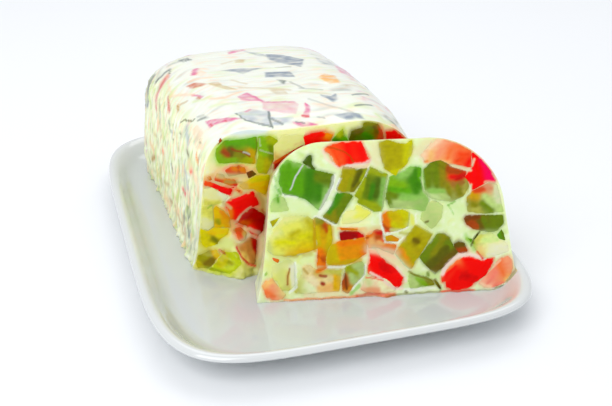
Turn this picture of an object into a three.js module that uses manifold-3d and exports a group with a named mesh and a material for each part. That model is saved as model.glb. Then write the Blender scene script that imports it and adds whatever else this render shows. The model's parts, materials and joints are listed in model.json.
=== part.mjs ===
// Mosaic milk jelly: a moulded loaf of cream jelly full of coloured jelly pieces, one cut slice
// leaning on its cut end, and the rounded rectangular plate that both stand on.
// Millimetres, +Z up. The origin is the middle of the plate's foot, +X runs across the plate
// and +Y runs along it, from the slice towards the uncut end of the loaf.
import * as THREE from 'three';
import { mergeVertices } from 'three/addons/utils/BufferGeometryUtils.js';
import Module from 'manifold-3d';

const wasm = await Module();
wasm.setup();

const FIT_GAP = 0.3;            // clear space between pieces that touch

// Plate
const PLATE_HALF_X = 83.6;
const PLATE_HALF_Y = 117.4;
const PLATE_SQUARENESS = 5.4;   // exponent of the rounded rectangle's outline
const PLATE_SIDES = 64;
const PLATE_FLOOR = 5.6;
// Wall of the plate as [inset from the outline, height], from under the middle round the lip
// to the floor.
const PLATE_WALL = [
  [29, 1.4], [27.4, 0.2], [26.8, 0], [21.6, 0], [20.6, 0.5], [14, 4.2], [6, 8.4], [1.4, 11],
  [0.2, 12.3], [0.2, 13.3], [1.2, 14.2], [2.8, 14.3], [4.6, 13.4], [6.8, 10.6], [8.8, 8],
  [11, 6.3], [14, PLATE_FLOOR],
];

// Section of the mould, upside down as it was turned out: widest at the plate
const WIDTH = 114;
const HEIGHT = 67;
const SIDE_DRAFT = 0.115;       // inward lean of the side walls
// Radii of each side's upper and lower edge. The left foot spreads, the right one is rounded.
const LEFT = { round: 21, foot: 0, flare: 2.1 };
const RIGHT = { round: 28, foot: 5.5, flare: 0.6 };
const FLARE_REACH = 8;
const SKIN = 0.8;               // cream over the pieces along the moulded sides

// Loaf
const LOAF_AT = [0.5, -29.7];
const LOAF_TURN = 1.4;          // degrees
const LOAF_LENGTH = 132;
const LOAF_END_DRAFT = 0.02;
const LOAF_END_ROUND = 32;      // radius of the upper edge at the uncut end
const LOAF_CORNER = 15;         // radius of the upright corners of the uncut end
const LOAF_SIDE_BOW = 3.2;      // the right side bulges
const LOAF_BACK_BULGE = 5.5;    // the left side bulges towards the uncut end
const LOAF_END_BOW = 2.4;
const CUT_FOOT = 8.5;           // the foot of the cut face has slumped forward
const CUT_FOOT_REACH = 11;
const CUT_LUMP = 9;             // and most of all round here on its left side
const CUT_LUMP_AT = -38;
const CUT_LUMP_WIDTH = 12;
const CUT_SAG = 5.2;            // the top sinks towards the cut, but not on the left side
const CUT_SAG_REACH = 13;
const CUT_SAG_FROM = [-50, -12];

// Slice
const SLICE_AT = [20.2, -77.9];
const SLICE_TURN = -10.8;       // degrees
const SLICE_LEAN = 25.3;        // degrees from upright
const SLICE_THICK = 15.4;
const SLICE_FOOT = 16.2;        // depth of its flat foot
const SLICE_FOOT_REACH = 22;

const JELLY = {
  red: 0xf20d0a, darkRed: 0xa00c0c, salmon: 0xff8a5c, orange: 0xf08a1e, amber: 0xd9a010,
  yellow: 0xd6cc0c, paleYellow: 0xe3e487, lime: 0x8fbe1c, green: 0x4f9400, darkGreen: 0x5a6e08,
  olive: 0x8f9410, brown: 0x8a5a10, beige: 0xe8d2a4,
};

// Pieces that show on the slice's front face: name, jelly, how deep it runs into the slice, and
// its outline as [across, up] on the face, from the middle of the face's lower edge
const SLICE_PIECES = [
  ['slice_red_top', 'red', 10, [
    [-26, 63.2], [-22.5, 65.2], [-14, 67], [-10, 67], [-8.6, 64], [-5.8, 58.2], [-7, 57.3],
    [-16, 57], [-19.8, 55.8], [-21.6, 58], [-23.2, 62]]],
  ['slice_yellow_top', 'yellow', 11, [
    [-1.8, 65.6], [2, 66.4], [6, 64.8], [10.4, 64.4], [12.4, 66], [13, 63], [12.2, 60.4],
    [9.8, 56], [4.8, 51.2], [0.2, 54.4], [-1.2, 60]]],
  ['slice_red_corner', 'red', 18, [
    [38.6, 59.6], [42, 58.6], [46, 55], [48.4, 50], [48.6, 46.4], [45, 46.8], [38.4, 43.6],
    [37.4, 46.2], [35.2, 49.4], [39.3, 53.6], [39.1, 56.4]]],
  ['slice_salmon_top', 'salmon', 8, [
    [16.2, 59.2], [18.5, 61.6], [22, 65.4], [28, 67], [34, 65.4], [38.6, 61.4], [38.2, 57],
    [38.2, 53.2], [33, 54.6], [28.4, 55.2], [25, 57.2], [20.6, 56.6], [18.6, 56]]],
  ['slice_green_big', 'green', 18, [
    [-42, 59.8], [-35, 57.6], [-30, 54.8], [-21.6, 52.6], [-22.2, 49], [-25.4, 42.4],
    [-28.6, 37.8], [-34, 42.8], [-38.4, 44.6], [-43.4, 45.2], [-45.2, 50], [-44.6, 56]]],
  ['slice_green_tip', 'darkGreen', 8, [
    [-34.6, 58.4], [-32.6, 60.8], [-31, 61.4], [-31.3, 57.4], [-29.6, 55.2], [-31.4, 55.8]]],
  ['slice_olive_strip', 'olive', 9, [
    [-17.6, 56], [-14.4, 55.4], [-12, 54.4], [-7.2, 54.6], [-9.4, 50.6], [-13.4, 45.2],
    [-19, 45], [-21, 46.4], [-19, 50.4]]],
  ['slice_green_cube', 'green', 12, [
    [-6.2, 55.2], [1.6, 51.8], [0.4, 47], [-1.2, 38], [-2, 36.4], [-5.4, 36.4], [-12.2, 40.6],
    [-11.2, 41.8], [-13.2, 43.4], [-10, 48.2], [-7.6, 52.4]]],
  ['slice_olive_diagonal', 'darkGreen', 18, [
    [-20.6, 44.8], [-16, 44.6], [-14.2, 43.2], [-19, 36.4], [-21.8, 31.6], [-27.2, 34.8],
    [-24, 38.4]]],
  ['slice_green_bright', 'lime', 12, [
    [2.2, 50.6], [8.6, 53], [11.6, 54.6], [16, 54], [15.8, 48.6], [16.8, 44], [19, 40.4],
    [17, 35.4], [9.4, 37], [2, 37.6], [0.3, 41], [0.9, 46]]],
  ['slice_green_round', 'darkGreen', 18, [
    [17.2, 53], [20.4, 55.8], [24, 56.8], [27, 55.6], [30, 53.4], [35.6, 51.6], [36.6, 45],
    [34, 41.2], [29, 39], [24, 39.8], [19.6, 41], [17.4, 43.6]]],
  ['slice_green_right', 'lime', 9, [
    [36, 41], [39, 43.2], [46, 46.2], [49, 45.4], [50.2, 41], [51.4, 33.6], [43, 33.2],
    [35.8, 34.4], [35.6, 38.4]]],
  ['slice_olive_right', 'darkGreen', 12, [
    [34, 31.4], [35, 32.4], [51, 31.8], [51.6, 28.8], [48.6, 25.6], [45, 25], [38, 26.6],
    [35.2, 28.8]]],
  ['slice_pale_right', 'paleYellow', 7, [
    [37, 20.4], [41, 24.4], [45.6, 24.6], [49, 22], [52.6, 19.4], [53.2, 16.4], [46, 14.4],
    [41.8, 13.8], [39, 17.2]]],
  ['slice_red_big', 'red', 18, [
    [23.2, 7.2], [29.6, 12.8], [34.4, 15.2], [37.6, 14.2], [41, 12.4], [46.4, 13.8], [45.2, 10],
    [42.4, 6.6], [34.2, 1.2], [27.4, 0.6], [25.2, 1.8], [24.6, 4.4], [23.2, 4.6]]],
  ['slice_salmon_low', 'salmon', 9, [
    [49.2, 12.8], [52.6, 14], [54.6, 12], [54.6, 9], [53, 5.4], [50, 1.8], [42, 1.2], [39.2, 3],
    [42.9, 5.8], [46, 9.6]]],
  ['slice_olive_big', 'darkGreen', 18, [
    [13.8, 15.8], [19.2, 22], [22, 25], [25, 25.4], [27.4, 23.4], [28.6, 19.6], [30.6, 17],
    [24, 11], [20.2, 8], [15.4, 13.4]]],
  ['slice_brown', 'brown', 8, [
    [29.2, 20.6], [31.2, 21.8], [33.6, 20.4], [35, 17.2], [33, 16.4], [30, 17]]],
  ['slice_amber_diamond', 'amber', 12, [
    [12.8, 29.8], [19.8, 25.4], [15.2, 18.4], [9.6, 10.6], [6.8, 12.9], [3.2, 17.7],
    [7, 22.6]]],
  ['slice_yellow_mid', 'yellow', 9, [
    [-1.8, 35], [1, 35.8], [7.4, 36.2], [10.2, 34.6], [9.4, 29.4], [4.8, 27.6], [-0.6, 27.2],
    [-1.8, 31]]],
  ['slice_pale_strip', 'paleYellow', 6, [
    [-18.8, 31.6], [-19, 35], [-17, 36.8], [-13.6, 37.2], [-12.4, 39.2], [-6.2, 35.8],
    [-8, 34.4], [-12.4, 31.8]]],
  ['slice_yellow_big', 'yellow', 12, [
    [-44, 35.2], [-39, 36], [-34, 35.4], [-31.6, 33.8], [-30.6, 28], [-30.2, 21.8], [-38, 19.4],
    [-43, 19], [-49, 19.8], [-51.4, 21.8], [-50.6, 26], [-48, 31]]],
  ['slice_amber_strip', 'amber', 18, [
    [-31.2, 33.4], [-30.4, 35.2], [-24, 31.4], [-23.6, 24.4], [-26.2, 20.4], [-27.2, 16],
    [-26.8, 12.8], [-30.4, 12], [-30.6, 16], [-29.8, 21], [-30.4, 27.4]]],
  ['slice_red_dark', 'darkRed', 9, [
    [-20.2, 27.6], [-18, 28.6], [-13, 28.2], [-9.8, 25.8], [-14, 25], [-19.9, 24.7]]],
  ['slice_amber_mid', 'amber', 11, [
    [-24, 23], [-20, 24.2], [-10, 25.2], [-8.9, 22.7], [-9.4, 18.6], [-15.4, 15], [-20.6, 13.8],
    [-26.2, 14.6], [-26.6, 17.4], [-25.6, 21.4]]],
  ['slice_pale_left', 'paleYellow', 7, [
    [-49.4, 15.4], [-43, 18], [-40.4, 15.8], [-40.4, 6.6], [-43, 4.6], [-46, 4.8], [-47.8, 8.4],
    [-50, 10.4]]],
  ['slice_orange_left', 'salmon', 10, [
    [-54.2, 7], [-52.4, 9], [-50, 9.8], [-48, 6.6], [-44.6, 2.8], [-46, 1], [-50, 0.8],
    [-52.6, 2]]],
  ['slice_beige_left', 'beige', 6, [
    [-36.8, 14], [-34, 14.6], [-31, 12.6], [-26.6, 13], [-19.6, 12], [-20.6, 9], [-21.8, 3],
    [-30, 3.2], [-36, 2.6], [-41, 3.4], [-39.6, 7.8], [-37.6, 10]]],
  ['slice_olive_sliver', 'olive', 9, [
    [-18.4, 13], [-14.4, 14.6], [-11.6, 15], [-10.2, 13.4], [-10.6, 9.6], [-16.2, 4.4],
    [-18, 1.8], [-20, 3], [-20.2, 6.4], [-19.2, 10]]],
  ['slice_red_diagonal', 'red', 18, [
    [-8, 19.8], [-5, 20], [-3.4, 16.6], [2.4, 11.6], [6.4, 7.4], [5.4, 4.6], [3.4, 2.8],
    [0.4, 6.2], [-2, 7.6], [-5.4, 8], [-8.8, 10], [-8.4, 13], [-7.2, 16.4]]],
  ['slice_beige_low', 'beige', 7, [
    [-10.6, 6.8], [-5, 7.6], [-1.6, 7.2], [0, 6], [3, 2.2], [-3, 1.2], [-10, 1.8],
    [-12.2, 3.2]]],
  ['slice_green_low', 'lime', 9, [
    [9, 9], [16.4, 6.9], [18.8, 5.2], [20, 3.4], [12, 2.8], [9, 2.6], [8.6, 6]]],
  ['slice_apricot', 'orange', 7, [
    [-9.4, 25.6], [-7, 27], [-4.2, 28.4], [-1.8, 27.6], [-1, 23.6], [3.8, 21.2], [2.4, 17.6],
    [-2, 19.6], [-4, 20.8], [-8, 20.8], [-8.6, 22.4]]],
  ['slice_pale_edge', 'lime', 5, [
    [-49.2, 41], [-48, 43.4], [-45.4, 44.6], [-43.2, 43.6], [-41.8, 38.6], [-45, 38.2],
    [-49.4, 38.2]]],
  ['slice_pale_mid', 'lime', 5, [
    [18.6, 38.8], [21.6, 39.6], [24.8, 37.2], [24, 32.4], [21.4, 29], [19.4, 27.8], [15, 32],
    [15.8, 34.8]]],
];

// Pieces that show on the loaf's cut face, laid out in the same way
const LOAF_PIECES = [
  ['loaf_green_top', 'green', 16, [
    [-43.6, 56.6], [-40, 59.8], [-30, 59.4], [-25.6, 60], [-25.4, 55], [-26.6, 51],
    [-26.8, 47.4], [-34, 49.2], [-42.8, 49.8], [-44, 53.6]]],
  ['loaf_green_side', 'lime', 18, [
    [-25, 60], [-20, 59.6], [-16, 56.8], [-18.4, 55], [-18.4, 48.6], [-19.4, 45.4],
    [-21.6, 41.8], [-25, 42.8], [-26.2, 45.6], [-25, 51]]],
  ['loaf_cream_yellow', 'paleYellow', 12, [
    [-17.8, 55.2], [-15.6, 57.4], [-14, 59], [-4.8, 58], [-3.8, 54], [-11, 51], [-17, 48],
    [-18, 49]]],
  ['loaf_red_sliver', 'darkRed', 10, [
    [-19, 46], [-17, 47.6], [-5.6, 54], [-4.6, 52.6], [-10, 48.2], [-17.6, 43.6]]],
  ['loaf_red_top', 'red', 15, [
    [-4.8, 56.8], [-0.5, 58.4], [5, 58.4], [9.4, 56.4], [7.4, 52], [-1.6, 50.6], [-3.8, 54]]],
  ['loaf_green_peak', 'lime', 12, [
    [9, 54], [14, 58.6], [14.8, 55.4], [16.8, 52.4], [12, 50]]],
  ['loaf_green_right', 'darkGreen', 18, [
    [17.2, 53], [18.3, 57], [23.6, 58.2], [24, 60.2], [27, 61.4], [30, 60], [32.2, 57],
    [34, 52.6], [32, 47], [20, 47.6]]],
  ['loaf_red_right', 'red', 14, [
    [35, 54.8], [42, 54.4], [45, 49.6], [41, 46.4], [36, 48]]],
  ['loaf_orange', 'orange', 12, [
    [-40, 46], [-37.6, 47.4], [-34, 47.8], [-31.4, 46], [-30.8, 43.4], [-38.6, 43.2]]],
  ['loaf_orange_strip', 'orange', 10, [
    [-45, 42.2], [-43.8, 45], [-41, 44.2], [-40.4, 42.4], [-36.2, 41], [-34.8, 38.2],
    [-38, 38.8]]],
  ['loaf_ochre', 'amber', 15, [
    [-34, 38], [-29, 40.4], [-25.6, 41.6], [-20.2, 41.2], [-21, 34.6], [-22.4, 31.6],
    [-27.6, 35.4], [-32.4, 36]]],
  ['loaf_red_bow', 'red', 12, [
    [-50.8, 40.8], [-48.9, 42.8], [-46.4, 41], [-41.6, 38.4], [-37.2, 36.7], [-38.3, 34],
    [-42, 35.8], [-46.2, 39.1]]],
  ['loaf_beige', 'beige', 8, [
    [-49.8, 38.2], [-46.4, 38.6], [-39.2, 33.4], [-41, 31.2], [-45, 30.4], [-49.8, 31]]],
  ['loaf_red_cube', 'red', 16, [
    [-40.8, 30.4], [-28, 34.2], [-25.2, 27.4], [-30, 26.4], [-35, 23.4], [-36, 22],
    [-38.6, 22.2]]],
  ['loaf_red_dark', 'darkRed', 15, [
    [-35.4, 20.2], [-32.6, 24], [-28.4, 26], [-22.8, 21.8], [-24.4, 14.8], [-27.4, 13.2],
    [-30.2, 15], [-31.3, 18]]],
  ['loaf_pale_green', 'paleYellow', 8, [
    [-51.6, 30], [-46.8, 29.8], [-46.6, 24], [-46.6, 20.4], [-49, 18.6], [-52.4, 20]]],
  ['loaf_amber', 'amber', 14, [
    [-46, 28.4], [-45, 29.6], [-41.6, 26.8], [-39.4, 24], [-38.8, 18.4], [-45.8, 19.6],
    [-46, 23]]],
  ['loaf_yellow', 'yellow', 14, [
    [-53, 19.2], [-49, 17.9], [-46, 19.2], [-39.8, 17.8], [-40.6, 16], [-44.3, 14.4],
    [-45.7, 12.5], [-50.8, 10.8], [-53, 13.8]]],
  ['loaf_orange_scrap', 'orange', 9, [
    [-38.4, 17.6], [-34.5, 17.6], [-32.3, 15], [-33.2, 12.9], [-36, 12.7], [-36.4, 15.2]]],
  ['loaf_plum', 'darkRed', 16, [
    [-37.8, 11.6], [-35.6, 11.5], [-31.1, 12.9], [-28, 11.6], [-29.5, 8], [-31, 4.2],
    [-34, 5.2], [-36.5, 7.6]]],
  ['loaf_olive_low', 'olive', 18, [
    [-55.4, 3.4], [-54.2, 7], [-49.7, 9.9], [-46.8, 10.1], [-45.1, 8.4], [-47.4, 6.6],
    [-48.4, 4.4], [-51.3, 1.8], [-54.8, 1.2]]],
  ['loaf_lime_low', 'lime', 18, [
    [-47.4, 4.6], [-46.2, 6.8], [-44.4, 8.2], [-43.4, 8.8], [-38, 8.8], [-37.4, 5.2],
    [-42.6, 1.6], [-47.6, 1.2], [-50.6, 1.2]]],
];

const PIECE_BACK = 0.8;         // a piece is smaller at its far end
const PIECE_PROUD = 20;         // pieces start outside the face and are cut off flush with it
const CORE_DEPTH = 40;

// ---- Geometry helpers ----

function middle(ring) {
  return ring.reduce((sum, p) => sum.add(p), new THREE.Vector3()).divideScalar(ring.length);
}

// Closed body from rings of equally many points, with a fan at both ends.
function loft(rings, lastCentre = middle(rings[rings.length - 1])) {
  const count = rings[0].length;
  const points = [...rings.flat(), middle(rings[0]), lastCentre];
  const faces = [];
  const last = (rings.length - 1) * count;
  for (let i = 0; i < count; i++) {
    const next = (i + 1) % count;
    faces.push(rings.length * count, next, i);
    faces.push(rings.length * count + 1, last + i, last + next);
    for (let r = 0; r < last; r += count) {
      faces.push(r + i, r + next, r + count + next, r + i, r + count + next, r + count + i);
    }
  }
  const geometry = new THREE.BufferGeometry();
  geometry.setAttribute('position',
    new THREE.Float32BufferAttribute(points.flatMap((p) => p.toArray()), 3));
  geometry.setIndex(faces);
  return geometry;
}

function toSolid(geometry) {
  const merged = mergeVertices(geometry, 1e-4);
  return new wasm.Manifold(new wasm.Mesh({
    numProp: 3,
    vertProperties: merged.getAttribute('position').array,
    triVerts: Uint32Array.from(merged.getIndex().array),
  }));
}

function toGeometry(solid) {
  const mesh = solid.getMesh();
  const geometry = new THREE.BufferGeometry();
  geometry.setAttribute('position', new THREE.BufferAttribute(mesh.vertProperties, 3));
  geometry.setIndex(new THREE.BufferAttribute(mesh.triVerts, 1));
  geometry.computeVertexNormals();
  return geometry;
}

// The biggest body, without the loose slivers that a cut can leave
function biggest(solid) {
  return solid.decompose().reduce((a, b) => (b.volume() > a.volume() ? b : a));
}

function mesh(name, geometry, color, roughness) {
  const material = new THREE.MeshStandardMaterial({ color, roughness, metalness: 0 });
  const piece = new THREE.Mesh(geometry, material);
  piece.name = name;
  return piece;
}

// How far an edge rounded to `radius` has come in at `height` below a top at HEIGHT
function roundedInset(height, radius) {
  const rise = Math.max(0, height - (HEIGHT - radius)) / radius;
  return radius * (1 - Math.sqrt(Math.max(0, 1 - rise * rise)));
}

// Half width of the moulded section on its left or right side
function halfWidth(height, side) {
  const spread = side.flare * (1 - Math.exp(-height / FLARE_REACH));
  const below = Math.max(0, side.foot - height);
  const foot = side.foot - Math.sqrt(side.foot ** 2 - below ** 2);
  return WIDTH / 2 - spread - foot - SIDE_DRAFT * height - roundedInset(height, side.round);
}

// Heights of the rings that make up a moulded section: close together where it is round
function sectionHeights() {
  const heights = [0, 1.2, 3.2, 7, 12, 19, 29];
  const steps = 7;
  for (let i = 0; i <= steps; i++) {
    const angle = (i / steps) * (Math.PI / 2);
    heights.push(HEIGHT - RIGHT.round + RIGHT.round * Math.sin(angle));
  }
  return heights;
}

// ---- Plate ----

function plateRing([inset, height]) {
  const ring = [];
  const power = 2 / PLATE_SQUARENESS;
  for (let i = 0; i < PLATE_SIDES; i++) {
    const angle = (i / PLATE_SIDES) * 2 * Math.PI;
    const c = Math.cos(angle);
    const s = Math.sin(angle);
    ring.push(new THREE.Vector3(
      (PLATE_HALF_X - inset) * Math.sign(c) * Math.abs(c) ** power,
      (PLATE_HALF_Y - inset) * Math.sign(s) * Math.abs(s) ** power,
      height,
    ));
  }
  return ring;
}

// The plate with its surface moved by `gap` towards the food
function plateShape(gap) {
  return loft(PLATE_WALL.map(([inset, z]) => plateRing([inset + gap, z + gap])));
}

// ---- Jelly bodies ----

// Forward slump of the loaf's cut face at its foot, less towards both sides
function cutFoot(x, height) {
  const fade = 1 - Math.min(1, Math.abs(x) / (WIDTH / 2)) ** 6;
  const lump = CUT_LUMP * Math.exp(-(((x - CUT_LUMP_AT) / CUT_LUMP_WIDTH) ** 2));
  return (CUT_FOOT + lump) * fade * Math.exp(-((height / CUT_FOOT_REACH) ** 2));
}

// Share of its height that the cut face has lost at x
function cutSag(x) {
  return (CUT_SAG / HEIGHT) * THREE.MathUtils.smoothstep(x, ...CUT_SAG_FROM);
}

function loafRing(height) {
  const left = halfWidth(height, LEFT);
  const right = halfWidth(height, RIGHT);
  const backBulge = LOAF_BACK_BULGE * (1 - Math.exp(-height / FLARE_REACH));
  const end = LOAF_LENGTH - LOAF_END_DRAFT * height - roundedInset(height, LOAF_END_ROUND);
  const ring = [];
  const add = (x, y) => {
    const sag = cutSag(x) * Math.exp(-Math.max(0, y) / CUT_SAG_REACH);
    ring.push(new THREE.Vector3(x, y, height * (1 - sag)));
  };
  const faceSteps = 12;
  for (let i = 0; i <= faceSteps; i++) {
    const x = -left + ((left + right) * i) / faceSteps;
    add(x, -cutFoot(x, height));
  }
  const sideSteps = 6;
  for (let i = 1; i < sideSteps; i++) {
    const t = i / sideSteps;
    add(right + LOAF_SIDE_BOW * 4 * t * t * (1 - t * t), t * t * (end - LOAF_CORNER));
  }
  const corner = (side, from, reach) => {
    const steps = 5;
    for (let i = 0; i <= steps; i++) {
      const angle = from + (i / steps) * (Math.PI / 2);
      const x = side * (reach - LOAF_CORNER) + LOAF_CORNER * Math.cos(angle);
      const bow = LOAF_END_BOW * (1 - (x / reach) ** 2);
      add(x, end - LOAF_CORNER + LOAF_CORNER * Math.sin(angle) + bow);
    }
  };
  corner(1, 0, right);
  add((right - left) / 2, end + LOAF_END_BOW);
  corner(-1, Math.PI / 2, left + backBulge);
  for (let i = sideSteps - 1; i > 0; i--) {
    const t = i / sideSteps;
    add(-left - backBulge * t * t, t * t * (end - LOAF_CORNER));
  }
  return ring;
}

// A point of the slice: across and up on its front face, and 0 to 1 through its thickness.
// The foot sits flat on the plate, so the thickness turns level there.
function slicePoint(across, up, through) {
  const lean = THREE.MathUtils.degToRad(SLICE_LEAN);
  const settle = THREE.MathUtils.smoothstep(up, 0, SLICE_FOOT_REACH);
  const thick = THREE.MathUtils.lerp(SLICE_FOOT, SLICE_THICK, settle) * through;
  return new THREE.Vector3(
    across,
    up * Math.sin(lean) + thick * Math.cos(lean * settle),
    up * Math.cos(lean) - thick * Math.sin(lean * settle),
  );
}

function sliceRing(up) {
  const left = -halfWidth(up, LEFT);
  const right = halfWidth(up, RIGHT);
  return [[left, 0], [right, 0], [right, 1], [left, 1]].map(([x, t]) => slicePoint(x, up, t));
}

// ---- Coloured pieces ----

// An outline moved `by` outwards. It runs anticlockwise.
function grown(outline, by) {
  const corners = outline.map(([x, up]) => new THREE.Vector2(x, up));
  const outward = corners.map((corner, i) => {
    const side = corners[(i + 1) % corners.length].clone().sub(corner).normalize();
    return new THREE.Vector2(side.y, -side.x);
  });
  return corners.map((corner, i) => {
    const before = outward[(i + corners.length - 1) % corners.length];
    const middleWay = before.clone().add(outward[i]).normalize();
    const reach = by / Math.max(0.5, middleWay.dot(before));
    return corner.clone().addScaledVector(middleWay, reach).toArray();
  });
}

function shrunk(outline, scale) {
  const centre = [0, 1].map((k) => outline.reduce((sum, p) => sum + p[k], 0) / outline.length);
  return outline.map((p) => p.map((v, k) => centre[k] + (v - centre[k]) * scale));
}

// Outline of the moulded section, one skin inside its surface. `sag(x)` is the share of its
// height that the face has lost.
function coreOutline(sag) {
  const side = (radii, sign) => sectionHeights().map((height) => {
    const x = sign * (halfWidth(height, radii) - SKIN);
    return [x, SKIN + height * (1 - sag(x) - (2 * SKIN) / HEIGHT)];
  });
  return [...side(RIGHT, 1), ...side(LEFT, -1).reverse()];
}

// Solid that runs into a face which leans back by `lean` degrees, between outlines of equally
// many points, given as [how far in, outline] from the farthest in to the nearest
function intoFace(sections, lean) {
  const angle = THREE.MathUtils.degToRad(lean);
  const flat = sections[0][1].map(([x, up]) => new THREE.Vector2(x, up));
  const count = flat.length;
  const last = (sections.length - 1) * count;
  const points = sections.flatMap(([into, outline]) => outline.map(([x, up]) => [
    x,
    up * Math.sin(angle) + into * Math.cos(angle),
    up * Math.cos(angle) - into * Math.sin(angle),
  ]));
  const faces = [];
  for (const [a, b, c] of THREE.ShapeUtils.triangulateShape(flat, [])) {
    faces.push(a, c, b, last + a, last + b, last + c);
  }
  for (let i = 0; i < count; i++) {
    const next = (i + 1) % count;
    for (let r = 0; r < last; r += count) {
      faces.push(r + i, r + next, r + count + next, r + i, r + count + next, r + count + i);
    }
  }
  const geometry = new THREE.BufferGeometry();
  geometry.setAttribute('position', new THREE.Float32BufferAttribute(points.flat(), 3));
  geometry.setIndex(faces);
  return toSolid(geometry);
}

function pieceSolid([, , depth, corners], lean, grow) {
  const clockwise = THREE.ShapeUtils.isClockWise(corners.map(([x, up]) => ({ x, y: up })));
  const outline = clockwise ? corners.toReversed() : corners;
  const front = grown(outline, grow);
  const back = grown(shrunk(outline, PIECE_BACK), grow);
  return intoFace([[depth + grow, back], [0, front], [-PIECE_PROUD, front]], lean);
}

// Divides a body into its coloured pieces and the cream that holds them. A piece named earlier
// keeps its shape, and a later one is cut round it.
function divide(body, pieces, lean, sag, creamName) {
  const group = new THREE.Group();
  const outline = coreOutline(sag);
  const core = intoFace([[CORE_DEPTH, outline], [-PIECE_PROUD, outline]], lean);
  let cream = body;
  for (const piece of pieces) {
    const shape = biggest(pieceSolid(piece, lean, 0).intersect(core).intersect(cream));
    group.add(mesh(piece[0], toGeometry(shape), JELLY[piece[1]], 0.15));
    cream = cream.subtract(pieceSolid(piece, lean, FIT_GAP).intersect(core));
  }
  group.add(mesh(creamName, toGeometry(biggest(cream)), 0xf1f6e2, 0.3));
  return group;
}

// Stands a lofted body on the plate, clears it of the plate's wall and divides it.
function serve(body, pieces, lean, sag, creamName, [x, y], turn) {
  const place = new THREE.Matrix4().makeRotationZ(THREE.MathUtils.degToRad(turn));
  place.setPosition(x, y, PLATE_FLOOR + FIT_GAP);
  const wall = toSolid(plateShape(FIT_GAP - 0.02).applyMatrix4(place.clone().invert()));
  const fitted = biggest(toSolid(body).subtract(wall));
  const group = divide(fitted, pieces, lean, sag, creamName);
  group.applyMatrix4(place);
  return group;
}

const heights = sectionHeights();
const crown = new THREE.Vector3(0, 2 * CUT_SAG_REACH, HEIGHT);
const loafBody = loft(heights.map(loafRing), crown);
const sliceBody = loft(heights.map(sliceRing));

const jelly = new THREE.Group();
jelly.add(mesh('plate', plateShape(0), 0xf6f8f7, 0.12));
jelly.add(serve(loafBody, LOAF_PIECES, 0, cutSag, 'loaf_cream', LOAF_AT, LOAF_TURN));
jelly.add(serve(sliceBody, SLICE_PIECES, SLICE_LEAN, () => 0, 'slice_cream', SLICE_AT,
  SLICE_TURN));

export default jelly;
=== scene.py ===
# %% [markdown]
# A mosaic milk jelly: cream jelly set in a loaf pan round many pieces of clear coloured jelly,
# turned out on a white plate, with one slice cut off and leaning on the cut. The measured model
# gives the frame: every piece here is built in metres, in that frame, and stands for the solid it
# replaces.

# %% Load the frame
import json
import math
import random

import bmesh
import bpy
import numpy as np
from mathutils import kdtree, Matrix, noise, Vector
from mathutils.bvhtree import BVHTree


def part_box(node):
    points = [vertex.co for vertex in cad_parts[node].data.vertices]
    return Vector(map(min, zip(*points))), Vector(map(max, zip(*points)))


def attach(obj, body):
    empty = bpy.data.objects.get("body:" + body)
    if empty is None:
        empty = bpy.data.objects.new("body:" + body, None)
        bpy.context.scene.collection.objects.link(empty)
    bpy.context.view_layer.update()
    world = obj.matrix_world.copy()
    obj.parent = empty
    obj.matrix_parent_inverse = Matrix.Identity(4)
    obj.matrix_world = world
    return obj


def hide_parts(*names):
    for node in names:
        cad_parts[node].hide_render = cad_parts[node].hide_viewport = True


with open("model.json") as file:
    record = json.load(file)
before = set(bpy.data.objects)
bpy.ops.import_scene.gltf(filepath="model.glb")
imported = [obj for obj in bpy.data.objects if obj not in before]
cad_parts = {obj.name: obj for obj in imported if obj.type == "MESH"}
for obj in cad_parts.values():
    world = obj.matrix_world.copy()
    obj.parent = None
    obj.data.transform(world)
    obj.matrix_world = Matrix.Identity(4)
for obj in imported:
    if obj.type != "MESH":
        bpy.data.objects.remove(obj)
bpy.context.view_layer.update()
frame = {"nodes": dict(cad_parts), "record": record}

MM = 0.001
TAU = 2 * math.pi
NOISE_SEED = 3                  # without a seed, noise vectors differ from run to run
noise.seed_set(NOISE_SEED)
nodes = frame["nodes"]
print("nodes in the frame:", len(nodes))

# %% [markdown]
# Most steps below work on one object at a time, as by hand. Operators act on all that is selected,
# and the frame's nodes come in selected, so a small helper selects one object and nothing else.

# %% Select one object
def select_only(obj):
    bpy.ops.object.select_all(action="DESELECT")
    obj.select_set(True)
    bpy.context.view_layer.objects.active = obj


def apply_modifier(obj, kind, **settings):
    select_only(obj)
    modifier = obj.modifiers.new(kind.title(), kind)
    for name, value in settings.items():
        setattr(modifier, name, value)
    bpy.ops.object.modifier_apply(modifier=modifier.name)


def shade_smooth(obj, degrees):
    select_only(obj)
    bpy.ops.object.shade_smooth_by_angle(angle=math.radians(degrees))


def read_vertices(obj, what):
    flat = np.empty(len(obj.data.vertices) * 3)
    obj.data.vertices.foreach_get(what, flat)
    return flat.reshape(-1, 3)


def coordinates(obj):
    return read_vertices(obj, "co")


def normals(obj):
    return read_vertices(obj, "normal")


def move_vertices(obj, points):
    obj.data.vertices.foreach_set("co", np.asarray(points).ravel())
    obj.data.update()


def merge_close(obj, distance):
    select_only(obj)
    bpy.ops.object.mode_set(mode="EDIT")
    bpy.ops.mesh.select_all(action="SELECT")
    bpy.ops.mesh.remove_doubles(threshold=distance)
    bpy.ops.mesh.normals_make_consistent(inside=False)
    bpy.ops.object.mode_set(mode="OBJECT")


def new_object(name, data):
    obj = bpy.data.objects.new(name, data)
    bpy.context.scene.collection.objects.link(obj)
    return obj


print("helpers ready")

# %% [markdown]
# The camera stands in front of the plate, to its left and above it, where a guest would sit. A long
# lens keeps the sides of the loaf nearly parallel.

# %% Camera
CAMERA_AT = (-0.1114, -0.3883, 0.2156)
CAMERA_DOWN = 0.4588            # radians below level
CAMERA_RIGHT = 0.2944           # radians to the right of +Y
LENS = 53.96                    # millimetres on a 36 mm wide sensor

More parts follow.
